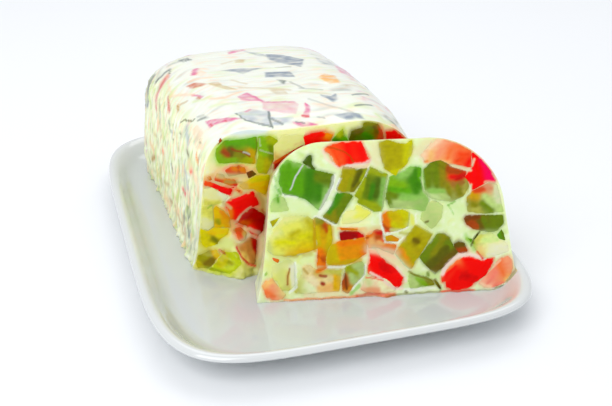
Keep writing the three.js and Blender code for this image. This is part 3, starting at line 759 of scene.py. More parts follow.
# piece: tone, across and up of one end, across and up of the other end
DROPS = read_drops("""
slice_red_top: coral -25 64 -20.5 58; scarlet -22 64.4 -19 57; red -15.5 65 -14.5 58.5
  red -10 64 -8 59
slice_yellow_top: mustard -0.5 65 2.5 55; mustard 6 63 6 57; yellow 12 65 10 58
  yellow 4 53 6 52.6
slice_red_corner: red 40 58 42 46; red 37 49 39 45; magenta 43.6 57 47.6 51; magenta 46 49.6 48 48
slice_salmon_top: peach 17 58 17.6 60; apricot 20 57.4 20.8 61; peach 20 62.6 25 66
  salmon 23.4 58.4 25 62; salmon 27 66 32 65.6; coral 27.6 57.4 29.4 61.6; coral 31 62.6 36 62
  scarlet 31.4 56.2 34.4 57.2; scarlet 33.4 59.4 36.6 59; red 36.4 55 37.4 56.6
  apricot 24 56.8 28 56
slice_green_big: leaf -43.6 56 -44 49; leaf -40.6 58.6 -41.4 47; leaf -37 55 -37 46.6
  green -32 54 -32.6 44.6; moss -29 52 -23.6 50.6; green -28.6 48 -28.6 42.6
  mint -24.6 46.6 -28 40; moss -22.6 51.6 -23.4 47.4; mint -41 59.6 -36 58.2
slice_green_tip: bottle -33 60 -30.6 55.6
slice_olive_strip: mustard -17 55.4 -20 46.6; mustard -14 54 -16.6 46
  dark_olive -10 53.6 -13.4 47.6; chartreuse -8.2 54 -10.2 50; olive -12 48.6 -13.6 46
slice_green_cube: chartreuse -8.8 50.4 -11.6 43; chartreuse -6 54.6 0.8 51.6; moss -7 50.6 -8.6 43
  bottle -2.6 50 -4.2 43; green -5 47 -6.4 42.4; chartreuse -9 40.6 -2.4 37.6
  mint -0.4 50 -1.6 39
slice_olive_diagonal: moss -16 43.6 -20.6 36.6; green -20 44 -24.4 37; olive -25.6 35.4 -21.8 32.8
  olive -22 37 -22.6 34
slice_green_bright: lime 2.4 48.6 8 46.6; leaf 3 45.6 10 44.6; mint 7 51.6 12 53.6
  green 13.6 53 13.4 44; green 12 49 14.8 46.6; mint 7.6 42 15.6 41; mist 4 39.6 10 38.4
  mint 17 42.4 17.4 37; moss 2 43.6 4 42.6; moss 1.2 41 2 39; leaf 15 53 15.2 50
slice_green_round: moss 18.4 53 18.6 46.6; moss 22.4 55 22.6 46; olive 25.6 55.6 25 46.6
  mint 20 44 25 43.4; milk_green 19.6 42.2 23 41.2; mist 24 42 28 41; olive 27 46 28.6 41
  olive 31.6 46.6 32.6 42.6; khaki 35.6 47.6 34.6 43.4; rust 28 53 32.4 51.2
  red 29.4 49.6 35.6 50.2; deep_red 31 48.6 33.6 49.4; caramel 30 46.8 35 47
slice_green_right: gold 37 41.6 39.6 41; scarlet 39.4 43 43 44; salmon 44 45 46.4 44
  olive 36.4 37.4 39 37; khaki 36.6 35.2 40 35; moss 42.4 37.6 46 34.4; mist 43.6 40.6 46.4 36.6
  milk 48.4 44 49.6 38; mist 49.6 36 50.4 34.4
slice_olive_right: brown 35 31.6 41 31.8; rust 37 29.4 39.6 28; moss 42 31.6 44 26.6
  moss 47 31 50.6 31.2; moss 46 27 50 28.6; umber 40.6 29.6 41.6 27
slice_pale_right: khaki 38 20.4 41 23.6; mist 42 22 48 21.6; milk_yellow 46 18.6 52 18
  apricot 40.6 17 42.4 14.6; milk_yellow 44 15.4 50 16
slice_red_big: red 24.4 7 29 11; red 27 3 30 8.6; red 34 14 38 10; deep_red 31.6 6.6 36 6.2
  red 38 9.6 43 8.6; red 40 12 45.6 13; red 28 1.4 34 2.4; coral 25 9.4 30 13.4
slice_salmon_low: pink_salmon 43 3 47 7.6; pink_salmon 45.6 2 50 2.6; coral 48.6 11.4 50.4 6.4
  salmon 52.6 13 53.6 8; apricot 51 4.4 52.6 5.6; peach 41 2.4 44 1.6
slice_olive_big: moss 15.6 15.6 21.4 22.6; olive 19.4 17.6 25 23.6; dark_olive 18.6 12.6 26 19.6
  umber 20.4 9.4 29 17; moss 26 21.4 27.6 20
slice_brown: umber 30 20.4 33 20.4; rust 31.4 17.6 34.4 17.4
slice_amber_diamond: mustard 12.8 28.6 18.6 25; mustard 9.4 23.6 13.6 26.8
  umber 11.6 23.6 13 22.6; mustard 7.4 21.6 9.6 19.4; gold 4.6 17.8 9.4 11.8
  mustard 9 17.6 12 14.6; mustard 14 21 16.6 22.6; amber 6 18.4 8 16
slice_yellow_mid: yellow 6.6 35.4 9 33; deep_yellow 2 34.4 5.4 33.4; orange -1 34.4 0.4 30.4
  rust -1 29.4 0.6 28; yellow 8.8 31.4 9.4 30; yellow 3 30.6 5 28.4; scarlet -0.6 28.2 0.4 27.6
slice_pale_strip: straw -18 34.8 -13.6 36.6; lemon -13 34.4 -8 35.8; lemon -12.4 38.4 -9 37
  straw -18 32.6 -12.6 32.6; milk_yellow -5.4 36.4 -4 36
slice_yellow_big: straw -46 34.4 -37 36; lemon -44 30.6 -37 32; straw -49.6 28 -46 29.6
  yellow -47 25.4 -40 25; lemon -50 22 -45 20.4; yellow -37 27.4 -34 28; mustard -34 34 -31.6 31
  mustard -33.4 27 -31 26; deep_yellow -36 23.6 -31 23.6; gold -38 20.6 -31 21.2
  mustard -41 27.8 -38 29.6; gold -44.6 19.4 -41 19
slice_amber_strip: olive -30.6 34 -28 33; deep_yellow -30 30 -29.4 24; gold -27.4 28.6 -27.6 23
  rust -26.6 31.6 -26 29; orange -29 20.6 -29.4 16; orange -28.4 14.6 -28.6 12.6
  deep_yellow -24.8 30 -25 22.6; rust -29.6 18.6 -28 17
slice_red_dark: dark_red -19 27 -13 26.8; deep_red -12 26.6 -10.6 26
slice_amber_mid: deep_yellow -24 21.6 -22 16; orange -19.6 23.4 -12 24; amber -14 21.4 -10 21
  amber -20 20.6 -15 20.6; amber -20 17.4 -13.6 18; deep_yellow -19 15 -14.6 15.8
  orange -11 19.4 -10 18.8
slice_pale_left: straw -48.6 14.6 -44.6 16; lemon -45.6 12.6 -46.6 8; tan -43 12 -43.6 7
  milk_yellow -41.4 14.6 -41.2 7.4; mustard -45.6 6 -44 5.4
slice_orange_left: apricot -53.4 7.4 -50.4 9; coral -52.6 4.4 -49.4 2.4; salmon -50 6.6 -47 3
  salmon -49 1.4 -46.6 1.6
slice_beige_left: sand -36.6 12 -33.6 12.8; tan -31.4 11.4 -29.4 11.4; khaki -26.4 12.4 -20.6 11.4
  gold -23 9.4 -23.4 4.6; apricot -29.6 5 -25.6 5; milk -36 6 -33 5; sand -27 8.6 -25 8.4
  khaki -39.6 5 -39 7; beige -33.4 9 -32 6.6
slice_olive_sliver: chartreuse -17.6 12.8 -14 10.6; rust -19 9.4 -18.6 5; mist -16 10 -15.2 7
  amber -18.6 3.4 -17.4 4.4; mist -13.6 13.4 -11.6 10
slice_red_diagonal: red -6.8 19 -5 14; deep_red -3.4 13.6 1 10; red 0.6 9.4 5 7.6; red 3.4 4.4 5 5
  red -8 11 -4.6 9.4
slice_beige_low: peach -9.6 5.8 -6 6.4; beige -4 5.4 0.6 4; salmon -9 3.2 -5 2.6; beige -3 3 0 2.4
slice_green_low: mist 9.6 7.6 11.4 4.4; lime 12.4 6.6 15.4 4.6; olive 16.6 5.6 18.6 4.4
slice_apricot: orange -8.8 25.4 -7.4 26; apricot -7 24.6 -5.6 22; deep_red -4 27.4 -2.4 27
  rust -4.2 25.4 -3 25.6; apricot -3.6 23 -1.6 22; orange -1.6 21.6 3 20.6; peach -1 19.6 2 18.4
  scarlet -2 24.6 -1.6 23.6
slice_pale_edge: mist -48 41.6 -46.4 39; mist -44.6 43.4 -43 39; mint -46.4 44 -45.4 43
slice_pale_mid: mist 17 34.6 20.6 38.6; mist 22.6 37.6 22.6 33; mist 17.6 31.4 20 29.4
loaf_green_top: lime -42.6 57.4 -42.8 51; leaf -38.4 58.8 -31 58.6; leaf -29 58.6 -26.6 56
  rust -40.4 55.6 -38.6 53.6; umber -37.6 56 -37 53.4; olive -35.6 53.4 -31.4 52
  lime -42 51 -36 51; chartreuse -31 50.6 -28 50; gold -28.4 54 -27 49.4
loaf_green_side: lime -23.4 59 -22.6 52; chartreuse -20 58.6 -18 57; moss -20 54.6 -19.2 50
  chartreuse -24.4 50 -24.6 45; mustard -21.4 48.6 -21.6 43.6; lime -23 55 -21 53
loaf_cream_yellow: straw -15.6 58 -6 57; straw -16 54.6 -12 54.6; sand -14.6 51 -11 52
  sand -8 54.6 -5 54.8; tan -17 50 -16 48.8
loaf_red_sliver: dark_red -18 45.6 -6 53; rust -17 47 -12 50
loaf_red_top: deep_red -4 56.4 -2 53; red -1 57.6 5 57.4; orange 6.4 57 8.6 56; red 2 55 5 53.6
loaf_green_peak: green 10.4 54 12 53; chartreuse 12.4 56.4 13.6 57.4; leaf 14.6 54 16 52.8
loaf_green_right: dark_olive 18.8 56.4 18.2 53; umber 20.4 57 23 56.6; bottle 21 54 22 52
  green 24 55.4 27 53; olive 24.8 60 28.6 60.2; umber 29 58 30.6 55.4; scarlet 31.8 56 33.2 53
  moss 26 58 28 57
loaf_red_right: red 36 53.6 43 51
loaf_orange: scarlet -38.8 46 -36.6 44; rust -34.6 47 -33.6 44; orange -36 46.6 -32.4 45.4
loaf_orange_strip: scarlet -44.4 42.6 -42 41.6; apricot -43.4 44.2 -41.4 43.4
  orange -40.4 41.4 -37.4 40.4; deep_red -36.4 39.6 -35.4 38.6
loaf_ochre: tan -33 38 -31 37; mustard -28 40 -21.6 40.4; gold -29 37.6 -22 37.6
  gold -25 35 -22.6 33; amber -23 35.6 -22 34.6
loaf_red_bow: scarlet -50 41 -47.4 41; red -45 39.6 -42 37.6; deep_red -40.6 36.6 -38.4 35.4
loaf_beige: straw -49 37 -46 37.6; sand -47 34.6 -43 34.4; beige -42.6 35.4 -40.4 33
  khaki -49 32 -44 31.4
loaf_red_cube: red -39.6 29.6 -29 33; deep_red -37.6 27 -30 29; red -38 24 -36.4 23
  red -33 26 -27 28
loaf_red_dark: dark_red -33.4 22 -30 23; dark_red -28.6 24.6 -26 19; deep_red -30 17.6 -28.6 16
  dark_red -25 21.6 -25.4 16; rust -33 20.4 -31.6 19.4
loaf_pale_green: khaki -50.6 29 -48 26; straw -50 23.6 -48.6 20.4
loaf_amber: gold -45 28.6 -44.2 24.6; orange -42.8 27 -40.6 24.6; olive -44.6 23.4 -44 21
  amber -41.6 22 -40 19.4; gold -44.6 20.2 -42.6 20
loaf_yellow: mustard -52 18 -50 16; gold -47 18 -41.6 17.2; dark_olive -47.4 15.4 -46.4 14.4
  mustard -45 16.4 -42 16.4; mustard -51.6 13 -48 12
loaf_orange_scrap: rust -37.8 17.2 -35 17; scarlet -35.6 16.4 -34 14; tan -33.6 15.4 -33 14
loaf_plum: caramel -35 10.6 -32 11.8; caramel -32 9 -32.4 6; dark_red -29.4 11.4 -29.6 9.6
  tan -35.8 8.6 -34.4 6.6
loaf_olive_low: olive -53.4 6 -50 8.4; umber -52 4 -49 6.6; gold -47.4 9 -46 8.6
  mustard -54.4 3.6 -52.6 2.2
loaf_lime_low: mustard -46 5 -43 7.4; chartreuse -41.6 7.6 -39 7.4; chartreuse -42.6 4 -39 5.4
  chartreuse -47.6 2.6 -44 2.4; olive -42.4 6.4 -41.4 5.6
""")
print("pieces with drops", len(DROPS), "of", len(pieces))

# %% [markdown]
# Thin veins cross pieces and cream alike: white skins between the pieces, dark lines along a cut
# edge, glints. Wide faint ones are stains, where a piece lies under a thin layer of cream. All are
# strokes of a width and a strength, laid over the drops one after the other.

# %% Veins and stains
def read_veins(text):
    """[(points along it, width, tone, strength), ...]"""
    return [(pairs(numbers[2:]), numbers[0], tone, numbers[1])
            for tone, numbers in read_entries(text)]


# The coral, red and deep red lines along the foot of the slice, within a millimetre of the plate,
# are a painted reflection of its jelly in the plate.
# tone, width, strength, then across and up of each point along it
SLICE_VEINS = read_veins("""
gold 0.7 0.8 -31.2 34 -31.2 21; deep_yellow 1.3 0.9 -25.6 22.4 -24.6 15
gold 0.9 0.75 -24 14.4 -12 16; mustard 1.1 0.6 -48 18.6 -33 19.6; apricot 0.8 0.7 -21 29.8 -9 29
chartreuse 0.8 0.7 -14.6 51 -16.4 45; mint 1.9 0.5 -46.6 56 -46.6 43; mist 1.2 0.7 2 38 15 39.8
peach 1.7 0.75 -8.6 21 3.6 18; sand 1.1 0.9 -1 25 7 24; beige 1 0.9 2 15 -6 20.6
straw 3.2 0.7 -47 17 -44.6 4; straw 2 0.7 -38.6 12 -37 4; sand 0.9 0.7 -30 13.6 -20 13
mist 1.8 0.6 -11.6 13 -8.8 6; mist 1.8 0.7 11 8.8 21 7; mist 1.1 0.6 37 25.6 52 25
mint 1.4 0.6 34.6 24 38 18; khaki 0.8 0.5 36 45.6 36.6 35; mint 0.7 0.6 17.4 44 16.6 53
straw 1.4 0.9 9.8 30 12.4 33; straw 0.9 0.8 2 28 10 27.6; mist 3.6 0.5 17 38 20.6 30
milk_green 2.6 0.7 28 37.6 32.6 35.6; beige 2.2 0.5 -4 64.6 -3 57; beige 2.2 0.6 14.6 61 19 65
peach 0.9 0.6 -18 56 -7 56; beige 1.7 0.7 0.8 18.4 8.2 11; beige 1.2 0.7 -36 2 -12 1.6
straw 1.5 0.9 -51 25 -50 18 -42 17; straw 1 0.7 -45 36.6 -33 36.8; peach 1 0.7 -9 20 3.4 16.6
sand 1.1 0.7 -9 28.8 -3 29.6; orange 0.7 0.85 -19.6 29.8 -13 29.4; beige 0.7 0.6 44 46.8 49 46.4
straw 1 0.6 -52 12 -51 16; peach 1 0.4 54.6 14 55.6 8; milk_green 3 0.35 -31 37 -42 42
milk_pink 0.9 0.95 23.4 8 25.6 12 31 15.6 36 16 42 13.8; milk_green 0.9 0.8 -48 50 -46 57
mist 1.2 0.7 -36.4 62.8 -34.8 61.6; milk_yellow 1 0.7 -19 30.4 -8 32
milk_white 1 0.8 -28.6 36.4 -24 41; lemon 0.9 0.9 10.8 34 11.6 30.6; khaki 0.8 0.8 6 26.6 9 26
lime 0.9 0.8 35 22.6 37.6 21; mint 0.9 0.8 -16.6 2 -13 5; orange 0.9 0.8 -30.6 12 -27 13.6
straw 0.8 0.8 -39 16.6 -37.4 19; milk_white 0.5 0.8 -26 13.6 -19 13.4
milk_pink 0.6 0.9 -7.8 10.4 -3.4 7.6 2 3.2 6 2.6; milk_pink 0.5 0.9 3.6 12 6.6 8.4 7.4 5.6
milk_pink 0.5 0.7 -26 63.4 -24.6 59.6 -20 56; milk_pink 0.6 0.8 -16 56.6 -9.6 57 -6 58.4
milk_white 0.6 0.7 -46 56 -47.6 51 -45 45.6 -38 44
milk_green 0.6 0.8 17 44.4 22 39.8 29 38.6 35 41; glint 0.34 1 -34.8 57.6 -38 53 -40.6 47.4
milk_white 0.85 1 -21.6 52 -23.2 47 -26.2 42.4 -28 38; milk_white 0.5 0.9 -19.2 51 -21.2 46.6
milk_white 0.4 0.8 -6.6 55.6 -8 52; milk_green 0.5 0.8 1.4 51.2 0 46 -1.6 37
milk_green 0.5 0.8 15.8 50 17 44 19.2 40.6
milk_white 0.42 0.95 -2.3 36 -2.3 31 -1.4 26.8 1.6 26.6 9.4 28.8; straw 0.4 0.9 10.3 35 9.9 30
milk_white 0.4 0.9 12.8 34.2 13 30.4; milk_white 0.4 0.95 -1.4 26.4 -0.9 22.8 4.6 22.6 6.8 24.6
straw 0.4 0.8 12.9 30.1 20.2 25.4; milk 0.4 0.8 3 17.8 9.5 10.2
milk_white 0.45 0.9 -22 31.4 -27.6 34.6 -30.8 35.6; milk_white 0.6 0.9 -40 16.4 -39.9 6 -42.6 4
milk_white 0.5 0.9 -10 13.6 -10.3 9.6 -14 6 -16 3.6; milk_white 0.7 0.9 7 2 20 2
peach 0.5 0.9 38.6 54.4 39.6 57; beige 0.6 0.9 29 54.8 34.4 53 37.6 52
peach 0.5 0.8 46 9.8 49.2 12.9; milk 0.5 0.8 33.6 40 37 42.4 37.6 45.8
amber 0.3 0.6 -9 24.8 -20 24.4; rust 0.33 0.75 -24 64.9 -18 63 -14.4 60.4 -13 58
caramel 0.45 0.9 -42.6 14 -43.8 7.4; dark_red 0.7 0.8 -29.6 10.3 -27.2 9.9
dark_red 0.95 0.95 -28.9 7 -28.4 6.8; tan 0.6 0.8 -36.6 13.4 -34.8 11.6
brown 0.5 0.8 -18.9 10.4 -18.5 4; red 0.34 0.8 -10 8.4 -2.6 6.8
olive 0.5 0.9 8.8 9.8 12 8 16.4 6.6 20 4.8 22.4 2 22.6 0.8; moss 0.8 0.9 17 8.8 17.2 8
umber 0.8 0.8 20 5.6 22 3; dark_olive 0.6 0.9 7.1 1.2 7.5 1
dark_olive 0.5 0.9 36.6 19.8 38.6 23.6 40.6 25.6; coral 0.5 0.9 39.2 17 41.6 13.6
red 0.6 0.9 41.2 14.6 41.6 13.8; mint 0.3 0.7 27 37.9 29.6 33.6; leaf 0.34 0.8 27.2 37.6 30.4 39.2
umber 0.5 0.8 17 31 18 31.2; rust 0.45 0.9 -8.9 25.2 -8.3 25.3; leaf 0.4 0.6 -47.2 53.6 -46.6 51.6
leaf 0.5 0.6 -46.8 49.6 -46.4 48.4; leaf 0.7 0.9 -45.8 47.6 -44.8 45.6
leaf 0.5 0.8 -46.2 45.4 -45.9 42.6; lime 0.5 0.9 -52.8 11.8 -52.4 12.4
leaf 0.4 0.8 -50.2 46.4 -50 47; orange 0.6 0.7 18 56.8 18.8 57; coral 0.6 0.7 -45 0.5 -14 0.5
deep_red 0.9 0.7 -14 0.7 -6 0.9 2 0.6; coral 1.3 0.9 -3.6 0 1.4 0; umber 0.4 0.55 -2 0.4 22 0.4
red 0.5 0.85 23 0.4 37 0.4
""")
# In the loaf's veins, the glint line and the two thin milk lines near -24 across, high on the cut
# face, are painted highlights.
LOAF_VEINS = read_veins("""
mustard 5 0.55 -53 15 -44 9 -34 2; mustard 2.2 0.7 -48 19 -40 19.6
khaki 1.3 0.8 -46.6 30 -46.6 20; amber 1.2 0.7 -38.6 27 -38.6 22; sand 2.6 0.8 -49 38.6 -41 42
apricot 2.2 0.6 -38 42.6 -26 44.6; peach 1.8 0.6 -44 44 -38 47; sand 1.4 0.8 -36 34 -27 36
rust 1.6 0.45 -38 20 -31 24.6; peach 1.4 0.7 -29 15.6 -24.6 14; salmon 1.6 0.5 -27 28 -24.6 25
frost 1.9 0.9 -36 63.4 -22 62.6; sand 1.2 0.9 -42 44.6 -31 42.4; tan 0.9 0.8 -40 41 -33.6 39.6
orange 0.9 0.9 -35.4 36.6 -33.4 35; apricot 1.2 0.8 -49.6 44 -46 44.4
straw 1.6 0.85 -47 12.4 -40 11.6; straw 1.6 0.85 -42 13.6 -39 10; beige 1 0.8 -36.6 12.4 -31 14.4
beige 0.9 0.6 -30.4 17 -26.4 14.6; tan 1.4 0.9 -25.4 33 -23.4 28 -24 24
apricot 1 0.9 -38.6 21 -38 18.4; sand 0.8 0.7 -38.4 28 -41.4 31
peach 0.5 0.8 -35.6 22 -34 24.4 -29 27; chartreuse 0.8 0.6 -52 2.6 -46 2
straw 1.2 0.7 -53.6 22 -53 32; milk_yellow 1.4 0.8 -52.6 40 -51 48; straw 1.4 0.6 -46 52 -45 58
sand 0.8 0.9 -18.8 46 -20.4 42.4; caramel 0.6 0.7 -44 58.6 -41.6 61.6
rust 1.1 0.6 -41.4 55.4 -38.6 53.6; rust 0.5 0.9 -36.8 56 -33 54.6 -29 51.6
glint 0.34 0.95 -32 54 -29 52.6; olive 0.34 0.7 -25.7 59 -26.2 48
milk 0.3 0.8 -24.5 59.4 -24.1 55.6; milk 0.3 0.8 -24.5 54 -19 51.5
rust 0.34 0.6 -18.5 48.6 -19.6 44; rust 0.55 0.8 -45.4 10 -43.4 9.2
scarlet 0.5 0.7 -36.4 20 -33.4 18.4; deep_red 0.45 0.95 -37.7 11 -36.5 7.6 -33.9 4.9 -31 3.6
rust 0.5 0.8 -24 25 -23.2 23.2; lime 0.5 0.7 -48.6 29.6 -47 30.6
""")
# wide stains that only the cream takes
LOAF_STAINS = read_veins("""
apricot 4 0.6 -42 47 -24 42; sand 3 0.5 -44 35 -34 36; apricot 3 0.65 -27 34 -25 27
peach 4 0.55 -36 16 -25 8; chartreuse 5 0.4 -52 13 -40 9; chartreuse 3 0.55 -54 2 -34 2
lemon 3 0.4 -51 30 -50 20
""")
SLICE_STAINS = read_veins("""
straw 3 0.5 -42 17 -20 14; lemon 3 0.55 -51 16 -47 8; gold 1.6 0.85 -24.4 30 -24.4 15
apricot 2.4 0.5 -18 29 -4 26; peach 3 0.5 -8 14 2 14; peach 1.6 0.5 26 15 36 17
""")
VEINS = {"loaf": LOAF_VEINS, "slice": SLICE_VEINS}
STAINS = {"loaf": LOAF_STAINS, "slice": SLICE_STAINS}
print("veins", {part: len(veins) for part, veins in VEINS.items()})

# %% [markdown]
# A stroke colours what is near its line. Noise moves every place a little first, so that no edge
# is ruled. The colours go into a colour attribute of the mesh, which the shaders read later.

# %% Brushes
def stroke_distance(across, up, x0, y0, x1, y1):
    """Distance in millimetres from each place to the stroke between two places."""
    dx, dy = x1 - x0, y1 - y0
    length = max(dx * dx + dy * dy, 1e-9)
    along = np.clip(((across - x0) * dx + (up - y0) * dy) / length, 0, 1)
    return np.hypot(across - x0 - along * dx, up - y0 - along * dy)


def rough(x, y, wide, deep, seed):
    """Noise from -1 to 1 with its own size along each axis."""
    return np.array([noise.noise(Vector((a / wide, b / deep, seed))) for a, b in zip(x, y)])


def unsteady(across, up, reach=0.35, size=3.2):
    """Moves places a little, so that no painted line is ruled."""
    shift = [noise.noise_vector(Vector((x / size, y / size, 0))) for x, y in zip(across, up)]
    shift = np.array(shift)
    return across + reach * shift[:, 0], up + reach * shift[:, 1]


def blend(colours, tone, share):
    """Colours drawn towards a tone, or towards other colours, by the share at each place."""
    towards = linear(tone) if isinstance(tone, str) else tone
    return colours + (towards - colours) * share[:, None]


DROP_HALF = 0.45                # millimetres
CRISP, SOFT = 3.4, 2.2          # how sharply one drop gives way to the next


def mix_drops(across, up, drops, power=CRISP):
    total = np.zeros((len(across), 3))
    weights = np.zeros(len(across))
    for tone, line in drops:
        weight = (stroke_distance(across, up, *line) + DROP_HALF) ** -power
        total += weight[:, None] * linear(tone)
        weights += weight
    return total / weights[:, None]


def lay_veins(across, up, colours, veins):
    """Thin veins have a clear edge, wide ones fade, and those of milk are ragged."""
    ragged = 0.35 * rough(across, up, 0.9, 0.9, 53)
    for line, width, tone, strength in veins:
        apart = np.min([stroke_distance(across, up, *a, *b) for a, b in zip(line, line[1:])],
                       axis=0)
        if "milk" in tone:
            apart = np.maximum(0, apart + ragged)
        share = strength * np.exp(-((apart / width) ** (4 if width < 1 else 2)))
        colours = blend(colours, tone, share)
    return colours


def paint(obj, colours, alpha=None, layer_name="tint"):
    layer = obj.data.color_attributes.new(layer_name, "FLOAT_COLOR", "POINT")
    alpha = np.ones(len(colours)) if alpha is None else alpha
    layer.data.foreach_set("color", np.column_stack([colours, alpha]).ravel())


print("brushes ready")

# %% [markdown]
# Now the pieces are painted: the drops, then slight shades, then the veins, and last some cream
# that clings to their edges.

# %% Paint the pieces
EDGE_TONE = {"loaf": "straw", "slice": "milk"}
# Pieces are painted brighter by these factors; on the loaf's cut face this is painted light,
# against the slice's shade.
LIFT = {"loaf": 1.45, "slice": 1.13}     # the cut face of the loaf stands in the slice's shade


def cloud(across, up, colours, part):
    """Slight shades in a piece of jelly, then the colours painted brighter by LIFT."""
    shade = 1 + 0.16 * rough(across, up, 2.2, 1.5, 31) + 0.08 * rough(across, up, 0.9, 0.8, 37)
    return np.clip(colours * (shade * LIFT[part])[:, None], 0, 1)


def milky_edge(across, up, depth, colours, part):
    """Cream clings to the edges of a cut piece, here more and there less."""
    reach = -0.15 + 0.9 * rough(across / MM, up / MM, 2.6, 2.6, 5)
    share = np.clip((reach - edge_distance(across, up, depth)) / 0.4 + 0.5, 0, 0.6)
    return blend(colours, EDGE_TONE[part], share)


# in these pieces one colour fades into the next
FADING = ["slice_salmon_top", "slice_salmon_low", "slice_orange_left", "slice_red_top",
          "slice_pale_right", "slice_yellow_big", "loaf_cream_yellow"]
STAIN_WIDTH = 1.3               # on the loaf, wider strokes than this only tint the cream
# these pieces are thin, or have much cream shining through
PALE = {"slice_pale_right": 1.25, "slice_pale_mid": 1.35, "slice_pale_edge": 1.2,
        "slice_pale_left": 1.4, "slice_beige_left": 1.1, "slice_beige_low": 1.2,
        "slice_green_low": 1.15, "slice_pale_strip": 1.2, "slice_green_right": 1.15,
        "slice_green_bright": 1.12, "slice_green_big": 1.12, "slice_green_round": 1.08,
        "slice_green_cube": 1.1, "slice_yellow_big": 1.2, "slice_olive_diagonal": 1.25,
        "slice_olive_right": 1.15, "slice_olive_big": 1.22, "loaf_beige": 1.2,
        "loaf_olive_low": 1.2, "loaf_lime_low": 1.25, "loaf_yellow": 1.3,
        "loaf_pale_green": 1.25, "loaf_amber": 1.15, "loaf_ochre": 1.1}

tints = {}
for node, piece in pieces.items():
    part = node.split("_")[0]
    straight_x, straight_up, depth = face_places(coordinates(piece), part)
    across, up = unsteady(straight_x / MM, straight_up / MM)
    colours = mix_drops(across, up, DROPS[node], SOFT if node in FADING else CRISP)
    colours = cloud(across, up, colours * PALE.get(node, 1), part)
    thin = [vein for vein in VEINS[part] if part == "slice" or vein[1] < STAIN_WIDTH]
    colours = lay_veins(across, up, colours, thin)
    tints[node] = colours
    paint(piece, milky_edge(straight_x, straight_up, depth, colours, part))
print("painted", len(pieces), "pieces")

# %% [markdown]
# The smallest scraps at the cuts aren't in the frame. They are cut from outlines: an outline is
# drawn flat, extruded into the face, and softened like the others.

# %% Scraps
SCRAP_PROUD = 0.00016
SCRAP_DEPTH = 0.0015
SCRAP_GRAIN = 0.00028           # voxel size
# face, slot, tones at its two ends, then across and up of each corner
SCRAPS = [row.split() for row in """
slice yellow_jelly mustard yellow -50 34.4 -45.4 36 -48.8 31.6
slice orange_jelly coral orange -49.8 19.2 -46.4 18 -47.2 16.4 -49.2 17.6
slice amber_jelly gold amber -0.9 25.6 2 26.2 5.4 24.2 4.6 23 -0.5 23.4
slice green_jelly leaf moss 48.2 23.8 50.4 26.2 51.4 24.4 52 21 48.8 22
slice red_jelly red deep_red 31.6 53.2 33.4 53 33 52.2
slice orange_jelly orange amber -20.6 30.4 -14.4 29.8 -11.4 28.8 -19.6 29
slice dark_green_jelly bottle dark_olive 37.6 21.4 39 24.4 40.6 25.6 40 24
slice lime_jelly lime leaf 35.2 23 37.4 22.6 36.6 21
slice brown_jelly olive umber 19.6 6.2 21.6 4.4 22.8 1.6 21.8 1.6 20.2 4
loaf brown_jelly brown umber -30.8 44 -28 44.8 -25.9 42.5 -29.8 41
loaf red_jelly deep_red red -38.2 37.8 -35.8 38 -36.6 37.2
loaf orange_jelly apricot orange -48.6 44.4 -46.6 44.6 -46 42.6 -47.4 42.4
loaf brown_jelly caramel rust -43.4 58 -41.4 61.4 -40.8 60.4
loaf amber_jelly rust gold -45.4 11 -43 9.6 -44.8 9.2
loaf orange_jelly orange coral -35.8 36.4 -33.4 36 -34 34.6
""".strip().splitlines()]
TO_SCENE = {"loaf": on_loaf, "slice": on_slice, "slice_back": behind_slice}
scraps = []


def flat_piece(kind, face, outline, depth, slot, tones):
    """An outline in millimetres on a face, extruded into it, softened and painted."""
    name = f"{face}_{kind}_{len(scraps)}"
    corners = np.array(outline) * MM
    count = len(corners)
    levels = [TO_SCENE[face](corners[:, 0], corners[:, 1], np.full(count, d))
              for d in (-SCRAP_PROUD, depth)]
    mesh = bmesh.new()
    front, back = [[mesh.verts.new(p) for p in level] for level in levels]
    mesh.faces.new(front)
    mesh.faces.new(back[::-1])
    for i in range(count):
        j = (i + 1) % count
        mesh.faces.new((front[j], front[i], back[i], back[j]))
    bmesh.ops.recalc_face_normals(mesh, faces=mesh.faces)
    data = bpy.data.meshes.new(name)
    mesh.to_mesh(data)
    mesh.free()
    obj = new_object(name, data)
    apply_modifier(obj, "REMESH", mode="VOXEL", voxel_size=SCRAP_GRAIN)
    apply_modifier(obj, "SMOOTH", factor=0.5, iterations=2)
    rest_on_plate(obj)
    shade_smooth(obj, CREASE)
    across, up, _ = face_places(coordinates(obj), face.split("_")[0])
    ends = corners[0] / MM, corners[count // 2] / MM
    drops = [(tone, (*end, *end)) for end, tone in zip(ends, tones)]
    paint(obj, mix_drops(*unsteady(across / MM, up / MM), drops))
    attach(obj, "root")
    scraps.append((obj, slot))


for face, slot, first, second, *numbers in SCRAPS:
    corners = pairs([float(number) for number in numbers])
    flat_piece("scrap", face, corners, SCRAP_DEPTH, slot, (first, second))
print("scraps", len(scraps))

# %% [markdown]
# The two faces that lean on each other can't be seen, but they have pieces too. They get a loose
# grid of uneven ones, each turned and shaped by a fixed chance.

# %% Hidden pieces
HIDDEN_DEPTH = 0.003
EDGE_ROOM = 0.6                 # millimetres from a hidden piece to the edge of its face
# slot, then tones at the two ends
HIDDEN_TONES = [entry.split() for entry in """red_jelly red deep_red; green_jelly leaf green;
yellow_jelly yellow mustard; amber_jelly amber gold; dark_green_jelly moss umber;
salmon_jelly salmon coral; lime_jelly lime mint; pale_yellow_jelly straw lemon;
orange_jelly orange apricot; olive_jelly olive chartreuse""".split(";")]


